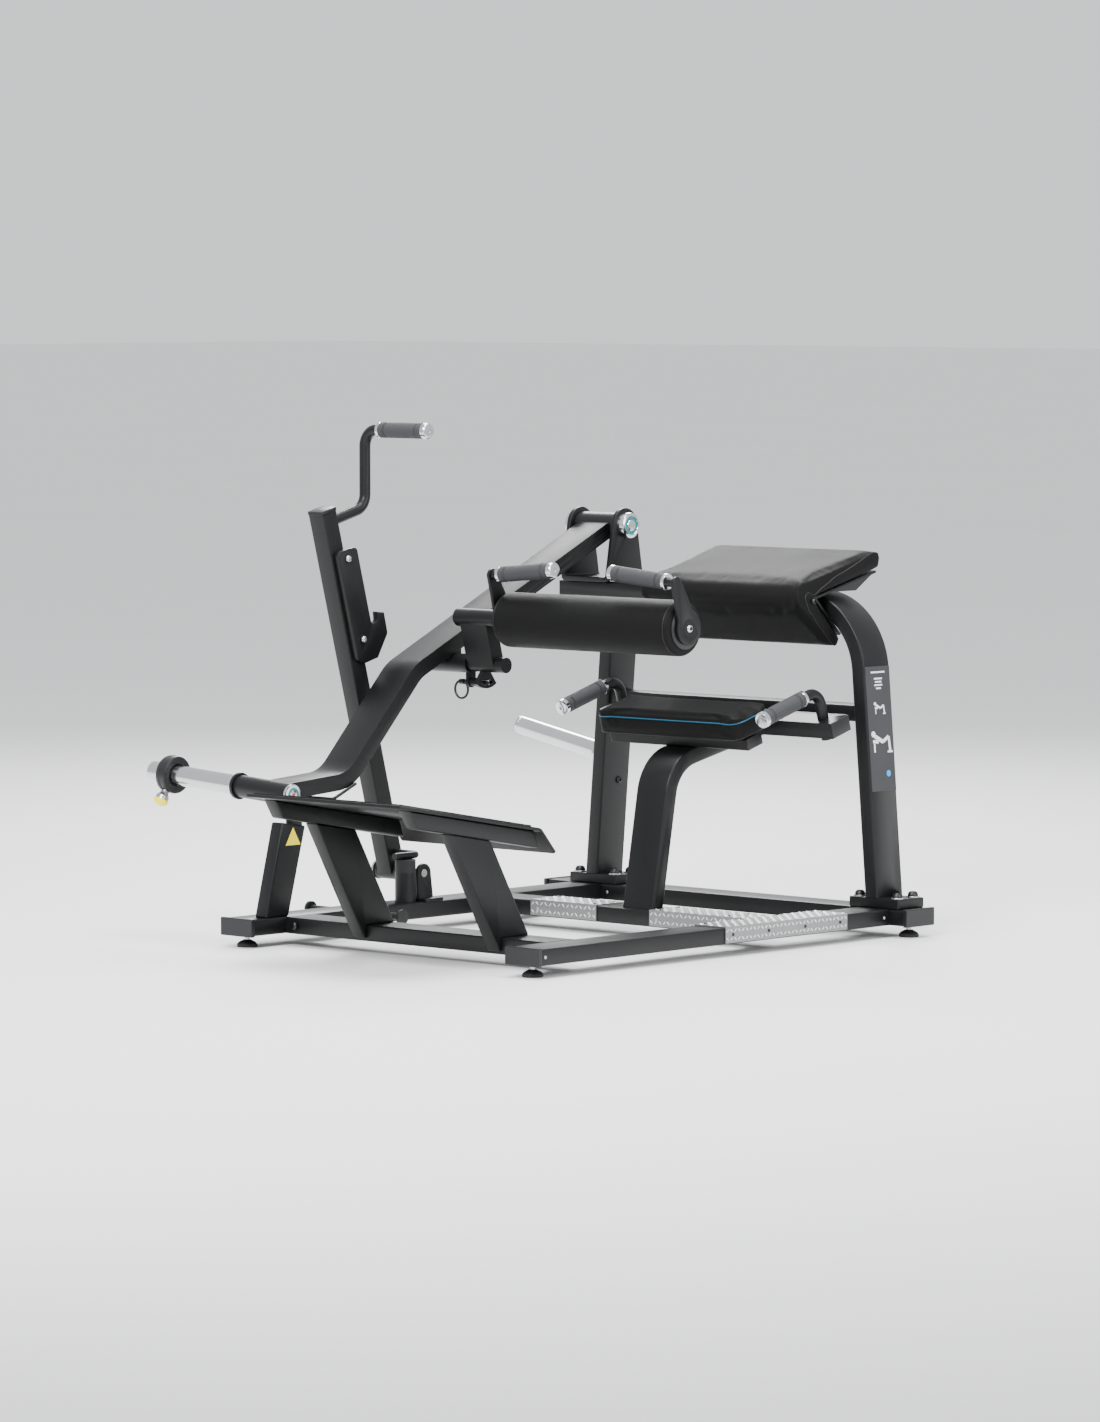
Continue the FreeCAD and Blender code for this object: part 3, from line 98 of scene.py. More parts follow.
def outward_x(tilt):
    """Direction that leaves the far side of the machine and rises by tilt degrees."""
    return Vector((-math.cos(math.radians(tilt)), 0, math.sin(math.radians(tilt))))


HORN_AXIS = outward_x(3.8)
SEAT_FRONT = (955.0, 548.0)
SEAT_TILT = 16.5
SEAT_HALF_DEPTH = 73.0
RACK_LEAN = math.radians(15)
CAP_LENGTH = 14.0
SEAT_UP = Vector((0, -math.sin(math.radians(SEAT_TILT)), math.cos(math.radians(SEAT_TILT))))
SEAT_BACKWARDS = Vector((0, SEAT_UP.z, -SEAT_UP.y))


def horn_point(s):
    """Place on the weight tube's middle line, s millimetres from its near end."""
    return at(-544, 140, 373) + HORN_AXIS * (s - 65) * MM


def seat_point(x, u, v):
    return at(x, *slant(SEAT_FRONT, SEAT_TILT, u, v))


# ---------------------------------------------------------------- what a user may change
class HipThrustSizes(bpy.types.PropertyGroup):
    tube_round: FloatProperty(name="Tube corner", description="Radius of the corners of the flat tubes",
                              default=4.5 * MM, unit="LENGTH")
    plate_round: FloatProperty(name="Plate edge", description="Radius of the edges of plates and brackets",
                               default=1.2 * MM, unit="LENGTH")
    pad_voxel: FloatProperty(name="Pad mesh", description="Size of the pad mesh before it swells",
                             default=6 * MM, unit="LENGTH")
    seat_corner: FloatProperty(name="Seat corner", description="Radius of the seat's corners seen from above",
                               default=38 * MM, unit="LENGTH")
    pad_swell: FloatProperty(name="Pad swell", description="Furthest that the cover may swell",
                             default=7 * MM, unit="LENGTH")
    seam_radius: FloatProperty(name="Piping", description="Radius of the piping round the pads",
                               default=1.6 * MM, unit="LENGTH")
    tread_pitch: FloatProperty(name="Tread pitch", description="Spacing of the raised bars on the step plates",
                               default=14 * MM, unit="LENGTH")
    turned_steps: IntProperty(name="Turned steps", description="Faces round a turned piece", default=48, min=12)


class HipThrustColours(bpy.types.PropertyGroup):
    coat: FloatVectorProperty(name="Coat", description="Powder coat of the frame", subtype="COLOR",
                              default=(0.0048, 0.005, 0.0055))
    vinyl: FloatVectorProperty(name="Vinyl", description="Cover of the pads", subtype="COLOR",
                               default=(0.0042, 0.0042, 0.0045))
    piping: FloatVectorProperty(name="Piping", description="Line round the seat pad", subtype="COLOR",
                                default=(0.0, 0.09, 0.17))
    grip: FloatVectorProperty(name="Grip", description="Rubber of the hand grips", subtype="COLOR",
                              default=(0.045, 0.046, 0.05))
    sign: FloatVectorProperty(name="Sign", description="Plain triangle on the rest post", subtype="COLOR",
                              default=(0.85, 0.72, 0.0))


def sizes():
    return bpy.context.scene.hip_thrust_sizes


def colours():
    return bpy.context.scene.hip_thrust_colours


# ---------------------------------------------------------------- shader maths
class Sock:
    """A node's output that adds Math nodes when it takes part in sums."""

    def __init__(self, finish, socket):
        self.finish, self.socket = finish, socket

    def maths(self, operation, *values):
        return self.finish.node("ShaderNodeMath", {"operation": operation}, dict(enumerate(values)))

    def __add__(self, other):
        return self.maths("ADD", self, other)

    def __rsub__(self, other):
        return self.maths("SUBTRACT", other, self)

    def __mul__(self, other):
        return self.maths("MULTIPLY", self, other)

    __radd__, __rmul__ = __add__, __mul__

    def over(self, edge, blur=0.05):
        """0 below edge, 1 above it."""
        return self.finish.node("ShaderNodeMapRange", {"interpolation_type": "SMOOTHSTEP"},
                                {0: self, 1: edge - blur, 2: edge + blur})


class Finish:
    """One procedural material."""

    def __init__(self, name, **fixed):
        self.material = bpy.data.materials.new(name)
        self.material.use_nodes = True
        self.nodes = self.material.node_tree.nodes
        self.shader = self.nodes["Principled BSDF"]
        for socket, value in fixed.items():
            self.shader.inputs[socket.replace("_", " ")].default_value = value
        self.place = self.node("ShaderNodeTexCoord", {}, {}, "Object")

    def node(self, kind, settings, inputs, output=0):
        made = self.nodes.new(kind)
        for name, value in settings.items():
            setattr(made, name, value)
        for socket, value in inputs.items():
            if isinstance(value, Sock):
                self.material.node_tree.links.new(value.socket, made.inputs[socket])
            else:
                made.inputs[socket].default_value = value
        return Sock(self, made.outputs[output])

    def noise(self, scale, detail=3.0, roughness=0.5):
        return self.node("ShaderNodeTexNoise", {}, {"Vector": self.place, "Scale": scale, "Detail": detail,
                                                    "Roughness": roughness})

    def cells(self, scale, feature="F1"):
        return self.node("ShaderNodeTexVoronoi", {"feature": feature}, {"Vector": self.place, "Scale": scale},
                         "Distance")

    def waves(self, scale, direction, distortion=0.0):
        return self.node("ShaderNodeTexWave", {"bands_direction": direction},
                         {"Vector": self.place, "Scale": scale, "Distortion": distortion}, "Fac")

    def between(self, mask, first, second):
        return self.node("ShaderNodeMix", {"data_type": "RGBA"}, {0: mask, 6: (*first, 1), 7: (*second, 1)}, 2)

    def wear(self, **linked):
        for socket, value in linked.items():
            self.material.node_tree.links.new(value.socket, self.shader.inputs[socket.replace("_", " ")])
        return self

    def relief(self, height, depth, strength=1.0):
        return self.wear(Normal=self.node("ShaderNodeBump", {}, {"Strength": strength, "Distance": depth,
                                                                 "Height": height}))


def shaded(colour, factor):
    return tuple(c * factor for c in colour)


def powder_coat(name, colour):
    coat = Finish(name, Coat_Roughness=0.3, Coat_Weight=0.04, Specular_IOR_Level=0.26)
    grain, cloud = coat.noise(1500, 2), coat.noise(7, 4)
    coat.wear(Base_Color=coat.between(cloud, shaded(colour, 0.8), shaded(colour, 1.3)),
              Roughness=0.3 + 0.1 * grain + 0.08 * cloud)
    return coat.relief(grain, 0.12 * MM, 0.5).material


def pad_vinyl(colour):
    vinyl = Finish("pad_vinyl", Specular_IOR_Level=0.12)
    creases, fine, cloud = vinyl.cells(520, "DISTANCE_TO_EDGE"), vinyl.noise(900, 3), vinyl.noise(9, 3)
    pores = creases.over(0.09, 0.08)
    vinyl.wear(Base_Color=vinyl.between(pores * 0.6 + cloud * 0.4, shaded(colour, 0.6), shaded(colour, 1.5)),
               Roughness=0.5 + 0.1 * fine + 0.1 * cloud)
    return vinyl.relief(pores * 0.7 + fine * 0.3, 0.25 * MM, 0.55).material


def rubber(name, colour, rough=0.7):
    soft = Finish(name, Specular_IOR_Level=0.3)
    grain, dust = soft.noise(700, 4), soft.noise(25, 5)
    soft.wear(Base_Color=soft.between(dust, shaded(colour, 0.8), shaded(colour, 1.6)),
              Roughness=rough - 0.1 * dust)
    return soft.relief(grain, 0.2 * MM, 0.5).material


def grip_rubber(colour):
    grip = Finish("grip_rubber", Specular_IOR_Level=0.35)
    knurl = grip.waves(150, "DIAGONAL") * grip.waves(150, "X")
    dust = grip.noise(40, 4)
    grip.wear(Base_Color=grip.between(knurl * 0.7 + dust * 0.3, shaded(colour, 0.55), shaded(colour, 1.35)),
              Roughness=0.62 + 0.15 * dust)
    return grip.relief(knurl + 0.3 * dust, 0.5 * MM, 0.8).material


def bright_metal(name, colour, rough, brush, scratch=0.04):
    metal = Finish(name, Metallic=1.0)
    lines, smudge = metal.noise(brush, 2), metal.noise(14, 5)
    metal.wear(Base_Color=metal.between(smudge, shaded(colour, 0.88), colour),
               Roughness=rough + scratch * lines + 0.08 * smudge)
    return metal.relief(lines, 0.03 * MM, 0.25).material


def moulded(name, colour, rough):
    plastic = Finish(name, Specular_IOR_Level=0.4)
    grain, cloud = plastic.noise(1100, 2), plastic.noise(12, 3)
    plastic.wear(Base_Color=plastic.between(cloud, shaded(colour, 0.85), shaded(colour, 1.2)),
                 Roughness=rough + 0.12 * grain)
    return plastic.relief(grain, 0.1 * MM, 0.4).material


def mix_finishes():
    """Every material by its short name."""
    tint = colours()
    made = {
        "coat": powder_coat("frame_coat", tint.coat),
        "gloss": powder_coat("plate_coat", shaded(tint.coat, 0.9)),
        "vinyl": pad_vinyl(tint.vinyl),
        "piping": moulded("pad_piping", tint.piping, 0.35),
        "seam": moulded("pad_seam", shaded(tint.vinyl, 1.6), 0.4),
        "grip": grip_rubber(tint.grip),
        "rubber": rubber("foot_rubber", (0.009, 0.009, 0.01), 0.6),
        "mat": rubber("mat_rubber", (0.008, 0.008, 0.009), 0.62),
        "plastic": moulded("cap_plastic", (0.006, 0.006, 0.007), 0.34),
        "ribbed": moulded("collar_plastic", (0.009, 0.009, 0.01), 0.34),
        "chrome": bright_metal("chrome", (0.66, 0.67, 0.69), 0.1, 300),
        "steel": bright_metal("zinc_steel", (0.5, 0.5, 0.5), 0.24, 700, 0.1),
        # The step plates are one metal: the plate is painted dark grey as shade between the raised bars, and the bars
        # are painted near white as a highlight.
        "tread_painted_shade": bright_metal("tread_plate", (0.3, 0.305, 0.31), 0.4, 500, 0.12),
        "tread_bar_painted_highlight": bright_metal("tread_bars", (0.86, 0.865, 0.87), 0.22, 500, 0.1),
        "dark_bolt": bright_metal("black_bolt", (0.05, 0.05, 0.052), 0.35, 600),
        "panel": moulded("placard_sheet", (0.03, 0.031, 0.034), 0.4),
        "mark": moulded("placard_mark", (0.72, 0.73, 0.74), 0.45),
        "blue": moulded("placard_dot", (0.01, 0.3, 0.75), 0.4),
        "sign": moulded("sign_face", tint.sign, 0.45),
        "teal": moulded("cap_ring", (0.0, 0.2, 0.2), 0.35),
        "red": moulded("cap_centre", (0.45, 0.02, 0.02), 0.35),
        "yellow": moulded("knob_face", (0.9, 0.8, 0.0), 0.45),
    }
    for name, material in made.items():
        material["short"] = name
    return made


def finish(name):
    return next(m for m in bpy.data.materials if m.get("short") == name)


# ---------------------------------------------------------------- mesh helpers
def add_piece(name, bm, material, body="root", stands_for=(), crease=35):
    """Makes a bmesh an object that rides on a body."""
    mesh = bpy.data.meshes.new(name)
    bm.to_mesh(mesh)
    bm.free()
    return add_mesh(name, mesh, material, body, stands_for, crease)


def add_mesh(name, mesh, material, body, stands_for=(), crease=35):
    mesh.polygons.foreach_set("use_smooth", [True] * len(mesh.polygons))
    mesh.set_sharp_from_angle(angle=math.radians(crease))
    mesh.materials.clear()
    mesh.materials.append(finish(material))
    piece = bpy.data.objects.new(name, mesh)
    bpy.context.scene.collection.objects.link(piece)
    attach(piece, body)
    if stands_for:
        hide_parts(*stands_for)
    return piece


def body_of(node):
    return NODES[node]["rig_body"]


def frame_for(origin, axis, up=Y):
    """Matrix that stands a piece made along +Z on origin, pointing along axis."""
    z = axis.normalized()
    x = up.cross(z).normalized()
    return Matrix.Translation(origin) @ Matrix((x, z.cross(x), z)).transposed().to_4x4()


def merged_copy(node):
    bm = bmesh.new()
    bm.from_mesh(NODES[node].data)
    bmesh.ops.remove_doubles(bm, verts=bm.verts, dist=0.01 * MM)
    bmesh.ops.dissolve_limit(bm, angle_limit=math.radians(1), verts=bm.verts, edges=bm.edges)
    return bm


def outer_edges(bm, hollow):
    """Sharp outer edges; on a hollow tube those of its bore and open ends are left alone."""
    sharp = [e for e in bm.edges if len(e.link_faces) == 2 and e.calc_face_angle() > math.radians(38)]
    if not hollow:
        return [e for e in sharp if e.is_convex]
    bore = {f for e in sharp if not e.is_convex for f in e.link_faces}
    ends = {f for b in bore for e in b.edges for f in e.link_faces} - bore
    skipped = bore | ends
    return [e for e in sharp if e.is_convex and not skipped & set(e.link_faces)]


def round_edges(bm, edges, radius, steps):
    bmesh.ops.bevel(bm, geom=edges, offset=radius, offset_type="OFFSET", segments=steps, profile=0.5,
                    affect="EDGES", clamp_overlap=True, material=-1)


def rounded_node(node, radius, material, hollow=False, steps=3):
    """Stands a copy with rounded edges in for a CAD node."""
    bm = merged_copy(node)
    round_edges(bm, outer_edges(bm, hollow), radius, steps)
    return add_piece(node + "_shell", bm, material, body_of(node), (node,), 40)


def lathe(bm, profile, place):
    """Turns (height, radius) points in millimetres about +Z, and puts the result at place."""
    start = [bm.verts.new((r * MM, 0, h * MM)) for h, r in profile]
    edges = [bm.edges.new(pair) for pair in zip(start, start[1:])]
    bmesh.ops.spin(bm, geom=start + edges, axis=(0, 0, 1), cent=(0, 0, 0), angle=2 * math.pi,
                   steps=sizes().turned_steps, use_merge=True)
    fresh = [v for v in bm.verts if not v.tag]
    bmesh.ops.remove_doubles(bm, verts=fresh, dist=0.01 * MM)
    fresh = [v for v in bm.verts if not v.tag]
    faces = {f for v in fresh for f in v.link_faces}
    bmesh.ops.transform(bm, matrix=place, verts=fresh)
    bmesh.ops.recalc_face_normals(bm, faces=list(faces))
    for v in fresh:
        v.tag = True


def turned_piece(name, profiles, material, body, stands_for=(), crease=35):
    """One piece from several (profile, place) pairs."""
    bm = bmesh.new()
    for profile, place in profiles:
        lathe(bm, profile, place)
    return add_piece(name, bm, material, body, stands_for, crease)


def prism(bm, outline, thick, place, taper=(1, 1)):
    """Flat plate with an outline of (x, y) millimetres, from 0 to thick above place; taper shrinks its top."""
    corners = [bm.verts.new((x * MM, y * MM, 0)) for x, y in outline]
    face = bm.faces.new(corners)
    top = bmesh.ops.extrude_face_region(bm, geom=[face])["geom"]
    raised = [v for v in top if isinstance(v, bmesh.types.BMVert)]
    bmesh.ops.scale(bm, vec=(*taper, 1), verts=raised)
    bmesh.ops.translate(bm, vec=(0, 0, thick * MM), verts=raised)
    faces = {f for v in corners + raised for f in v.link_faces}
    bmesh.ops.recalc_face_normals(bm, faces=list(faces))
    bmesh.ops.transform(bm, matrix=place, verts=corners + raised)


def regular(radius, sides, turn=0.0):
    return [(radius * math.cos(turn + 2 * math.pi * i / sides), radius * math.sin(turn + 2 * math.pi * i / sides))
            for i in range(sides)]


def dome_bolt(r, height, socket):
    """Profile of a domed head with a round socket."""
    return [(0, 0.01), (0, r), (0.35 * height, r), (0.75 * height, 0.86 * r), (height, 0.55 * r),
            (height, socket), (0.45 * height, socket), (0.4 * height, 0.01)]


# ---------------------------------------------------------------- soft pads
def settle(mesh, hold, pressure, swell):
    """Swells a closed cover by a cloth simulation; points that hold() picks stay put."""
    piece = bpy.data.objects.new("cover", mesh)
    bpy.context.scene.collection.objects.link(piece)
    start = [v.co.copy() for v in mesh.vertices]
    pinned = piece.vertex_groups.new(name="held")
    pinned.add([v.index for v in mesh.vertices if hold(v.co, v.normal)], 1.0, "REPLACE")
    cloth = piece.modifiers.new("swell", "CLOTH")
    cloth.settings.use_pressure = True
    cloth.settings.uniform_pressure_force = pressure
    cloth.settings.effector_weights.gravity = 0
    cloth.settings.vertex_group_mass = "held"
    cloth.settings.quality = 4
    cloth.collision_settings.use_collision = False
    cloth.point_cache.frame_start, cloth.point_cache.frame_end = 1, 20
    for step in range(1, 21):
        bpy.context.scene.frame_set(step)
    swollen = piece.evaluated_get(bpy.context.evaluated_depsgraph_get()).to_mesh()
    moved = [v.co.copy() for v in swollen.vertices]
    bpy.context.scene.frame_set(1)
    bpy.data.objects.remove(piece)
    for vertex, old, new in zip(mesh.vertices, start, moved):
        step = new - old
        vertex.co = old + step * min(1.0, swell / max(step.length, 1e-9))


def pad_piece(name, node, inset, swell, hold, trim=None):
    """Padded cover in the space of a CAD pad: remeshed, trimmed, drawn in, swollen and smoothed."""
    bm = merged_copy(node)
    bmesh.ops.triangulate(bm, faces=bm.faces)
    plain = bpy.data.meshes.new(name)
    bm.to_mesh(plain)
    bm.free()
    body = bpy.data.objects.new(name + "_form", plain)
    bpy.context.scene.collection.objects.link(body)
    remesh = body.modifiers.new("voxels", "REMESH")
    remesh.mode, remesh.voxel_size = "VOXEL", sizes().pad_voxel
    mesh = bpy.data.meshes.new_from_object(body.evaluated_get(bpy.context.evaluated_depsgraph_get()))
    bpy.data.objects.remove(body)
    bm = bmesh.new()
    bm.from_mesh(mesh)
    for v in bm.verts if trim else ():
        v.co = trim(v.co)
    for _ in range(4):
        bmesh.ops.smooth_vert(bm, verts=bm.verts, factor=0.5, use_axis_x=True, use_axis_y=True, use_axis_z=True)
    bm.normal_update()
    for v in bm.verts:
        v.co -= v.normal * inset
    bm.to_mesh(mesh)
    bm.free()
    mesh.update()
    settle(mesh, hold, 4.0, swell)
    piece = add_mesh(name, mesh, "vinyl", body_of(node), (node,), 80)
    smooth = piece.modifiers.new("smooth", "SUBSURF")
    smooth.levels = smooth.render_levels = 1
    return piece


def cut_line(mesh, point, normal):
    """Places, in order, where a plane cuts a closed mesh."""
    bm = bmesh.new()
    bm.from_mesh(mesh)
    geom = bm.verts[:] + bm.edges[:] + bm.faces[:]
    cut = bmesh.ops.bisect_plane(bm, geom=geom, dist=1e-7, plane_co=point, plane_no=normal)["geom_cut"]
    edges = [e for e in cut if isinstance(e, bmesh.types.BMEdge)]
    left = set(edges)
    vertex = edges[0].verts[0]
    line = []
    while True:
        step = next((e for e in vertex.link_edges if e in left), None)
        if step is None:
            break
        left.discard(step)
        line.append(vertex.co.copy())
        vertex = step.other_vert(vertex)
    bm.free()
    return line


def welt(name, pad, point, normal, radius, material, skip=3):
    """Piping on a pad where a plane cuts its cover."""
    line = cut_line(pad.data, point, normal)[::skip]
    curve = bpy.data.curves.new(name, "CURVE")
    curve.dimensions = "3D"
    curve.bevel_depth, curve.bevel_resolution = radius, 2
    spline = curve.splines.new("NURBS")
    spline.points.add(len(line) - 1)
    for spot, co in zip(spline.points, line):
        spot.co = (*co, 1)
    spline.use_cyclic_u, spline.order_u, spline.resolution_u = True, 3, 2
    tube = bpy.data.objects.new(name, curve)
    bpy.context.scene.collection.objects.link(tube)
    mesh = bpy.data.meshes.new_from_object(tube.evaluated_get(bpy.context.evaluated_depsgraph_get()))
    bpy.data.objects.remove(tube)
    return add_mesh(name, mesh, material, pad["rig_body"])


# ---------------------------------------------------------------- operators
class HIP_THRUST_OT_finishes(bpy.types.Operator):
    """Mix every finish and put it on the frame pieces that keep their CAD shape"""
    bl_idname = "hip_thrust.finishes"
    bl_label = "Finishes"
    bl_options = {"REGISTER", "UNDO"}

    worn_by = {
        "coat": ("lever_hub", "lift_loop", "carrier_housing", "roller_carrier", "rack_hub", "rack_handle",
                 "rack_stop_rod", "rack_stop_post", "seat_handles", "weight_tube", "arm_rest_post"),
        "rubber": ("levelling_feet", "rubber_bumpers"), "mat": ("foot_plate_mat",),
        "grip": ("seat_grips", "roller_grips", "rack_grip"),
        "plastic": ("beam_end_caps", "band_pegs"), "ribbed": ("plate_collar",),
        "chrome": ("weight_sleeve", "storage_horn", "storage_horn_fittings", "pivot_caps"),
        "steel": ("foot_studs", "pivot_shaft", "rack_pivot_pin", "catch_pin", "collar_knob", "frame_bolts"),
        "dark_bolt": ("pull_plunger",),
        # The step plates wear the painted-shade copy of the tread metal.
        "tread_painted_shade": ("side_tread_plate", "middle_tread_plates"), "panel": ("placard",),
        "vinyl": ("seat_pad", "back_pad", "roller_pad"),
    }

    def execute(self, context):
        mix_finishes()
        for name, nodes in self.worn_by.items():
            for node in nodes:
                NODES[node].data.materials.clear()
                NODES[node].data.materials.append(finish(name))
        return {"FINISHED"}


class HIP_THRUST_OT_tubes(bpy.types.Operator):
    """Round the corners of the flat tubes"""
    bl_idname = "hip_thrust.tubes"
    bl_label = "Tubes"
    bl_options = {"REGISTER", "UNDO"}

    def execute(self, context):
        for node in ("side_beam_near", "side_beam_far", "rear_beam", "front_beam", "middle_beam", "gantry",
                     "rear_post_far", "tie_bar", "seat_post", "seat_crossbar", "seat_front_bar", "lever_arm"):
            rounded_node(node, sizes().tube_round, "coat", hollow=True)
        rounded_node("rack_upright", 3 * MM, "coat", hollow=True)
        for node in ("footplate_rails", "footplate_posts", "arm_rest_post"):
            rounded_node(node, sizes().tube_round, "coat")
        return {"FINISHED"}


class HIP_THRUST_OT_plates(bpy.types.Operator):
    """Round the edges of plates, brackets, the rack hook and the roller handles"""
    bl_idname = "hip_thrust.plates"
    bl_label = "Plates"
    bl_options = {"REGISTER", "UNDO"}

    def execute(self, context):
        edge = sizes().plate_round
        for node in ("foot_plate", "pivot_bracket", "rack_hook", "rack_pivot_bracket", "back_pad_bracket",
                     "roller_handles"):
            rounded_node(node, edge, "gloss", steps=2)
        rounded_node("post_base_plates", edge, "coat", steps=2)
        return {"FINISHED"}


class HIP_THRUST_OT_pads(bpy.types.Operator):
    """Make the roller, the seat pad and the bent back pad, with their piping"""
    bl_idname = "hip_thrust.pads"
    bl_label = "Pads"
    bl_options = {"REGISTER", "UNDO"}

    def execute(self, context):
        low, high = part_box("roller_pad")
        roller_mid = box_mid("roller_pad")
        swell, piping = sizes().pad_swell, sizes().seam_radius
        board = seat_point(0, 0, -50)

        def seat_board(co, normal):
            return (co - board).dot(SEAT_UP) < 0

        middle = box_mid("seat_pad")
        corner = sizes().seat_corner
        seat_low, seat_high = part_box("seat_pad")
        half_x = (seat_high.x - seat_low.x) / 2 - corner
        half_u = SEAT_HALF_DEPTH * MM - corner

        def round_plan(co):
            """Pulls the corners of the seat in to an arc."""
            out_x = (co - middle).dot(X)
            out_u = (co - middle).dot(SEAT_BACKWARDS)
            past = Vector((abs(out_x) - half_x, abs(out_u) - half_u))
            if min(past) <= 0 or past.length <= corner:
                return co
            back = past * (corner / past.length - 1)
            return co + X * math.copysign(1, out_x) * back.x + SEAT_BACKWARDS * math.copysign(1, out_u) * back.y

        def back_board(co, normal):
            return normal.y > 0.15 and abs(normal.x) < 0.6

        def roller_end(co, normal):
            return abs(normal.x) > 0.8

        seat = pad_piece("seat_cushion", "seat_pad", 5 * MM, swell, seat_board, round_plan)
        back = pad_piece("back_cushion", "back_pad", 5 * MM, swell, back_board)
        roller = pad_piece("roller_cushion", "roller_pad", 3 * MM, 4 * MM, roller_end)
        welt("seat_piping", seat, seat_point(0, 0, -18), SEAT_UP, piping, "piping")
        welt("seat_low_seam", seat, seat_point(0, 0, -58), SEAT_UP, 0.7 * piping, "seam")
        pad_low, pad_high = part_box("back_pad")
        for side, edge in (("far", pad_low.x + 10 * MM), ("near", pad_high.x - 10 * MM)):
            welt("back_seam_" + side, back, Vector((edge, 0, 0)), X, 0.75 * piping, "seam")
        disc = [(-8, 0.01), (-8, 51), (1.2, 51), (2.2, 49.5), (2.2, 0.01)]
        ends = [(disc, frame_for(Vector((x, roller_mid.y, roller_mid.z)), way))
                for x, way in ((low.x + 2 * MM, -X), (high.x - 2 * MM, X))]
        turned_piece("roller_end_discs", ends, "plastic", "roller")
        for side, edge in (("far", low.x + 17 * MM), ("near", high.x - 17 * MM)):
            welt("roller_seam_" + side, roller, Vector((edge, roller_mid.y, roller_mid.z)), X, 0.6 * piping, "seam")
        return {"FINISHED"}


class HIP_THRUST_OT_grips(bpy.types.Operator):
    """Make the rubber hand grips and their bright end caps"""
    bl_idname = "hip_thrust.grips"
    bl_label = "Grips"
    bl_options = {"REGISTER", "UNDO"}

    def grip(self, start, end, bar):
        """Grip from start to end, where its cap is; bar is the radius of the tube inside."""
        axis = end - start
        length = axis.length / MM
        body_end = length - CAP_LENGTH
        sleeve = [(9, bar), (9, 19.6)]
        for groove in (26, 30, body_end - 22, body_end - 18):
            sleeve += [(groove - 0.9, 19.6), (groove - 0.5, 18.4), (groove + 0.5, 18.4), (groove + 0.9, 19.6)]
        sleeve += [(body_end, 19.6), (body_end, bar)]
        place = frame_for(start, axis)
        self.sleeves.append((sleeve + [sleeve[0]], place))
        dome = [(body_end, 0.01), (body_end, 20), (length - 3, 20), (length - 0.8, 18.4), (length, 16), (length, 5.5),
                (length - 2.5, 5), (length - 2.5, 2.6), (length - 4, 2.4), (length - 4, 0.01)]
        self.domes.append((dome, place))
        ring = [(0, bar), (0, 18.6), (1, 20), (8, 20), (9, 19), (9, bar), (0, bar)]
        self.domes.append((ring, place))

    def execute(self, context):
        roller_mid = box_mid("roller_pad")
        rise, fore, plate, tilt = 111 * MM, 45 * MM, 304 * MM, math.radians(5)
        length = 0.211 / math.cos(tilt)
        self.sleeves, self.domes = [], []
        for side in (1, -1):
            root = roller_mid + Vector((side * plate, -fore, rise))
            way = Vector((-side * math.cos(tilt), 0, math.sin(tilt)))
            self.grip(root + way * 26 * MM, root + way * length, 11)
        self.turn("roller_grip", "roller_grips", "carrier")
        for x in (332, -332):
            self.grip(seat_point(x, 150, 3.5), seat_point(x, -14, 3.5), 14)
        self.turn("seat_grip", "seat_grips", "root")
        self.grip(at(-594, 561, 1247), at(-424, 561, 1247), 14)
        self.turn("rack_handle_grip", "rack_grip", "rack")
        return {"FINISHED"}

    def turn(self, name, node, body):
        turned_piece(name + "_sleeves", self.sleeves, "grip", body, (node,))
        turned_piece(name + "_caps", self.domes, "chrome", body)
        self.sleeves, self.domes = [], []


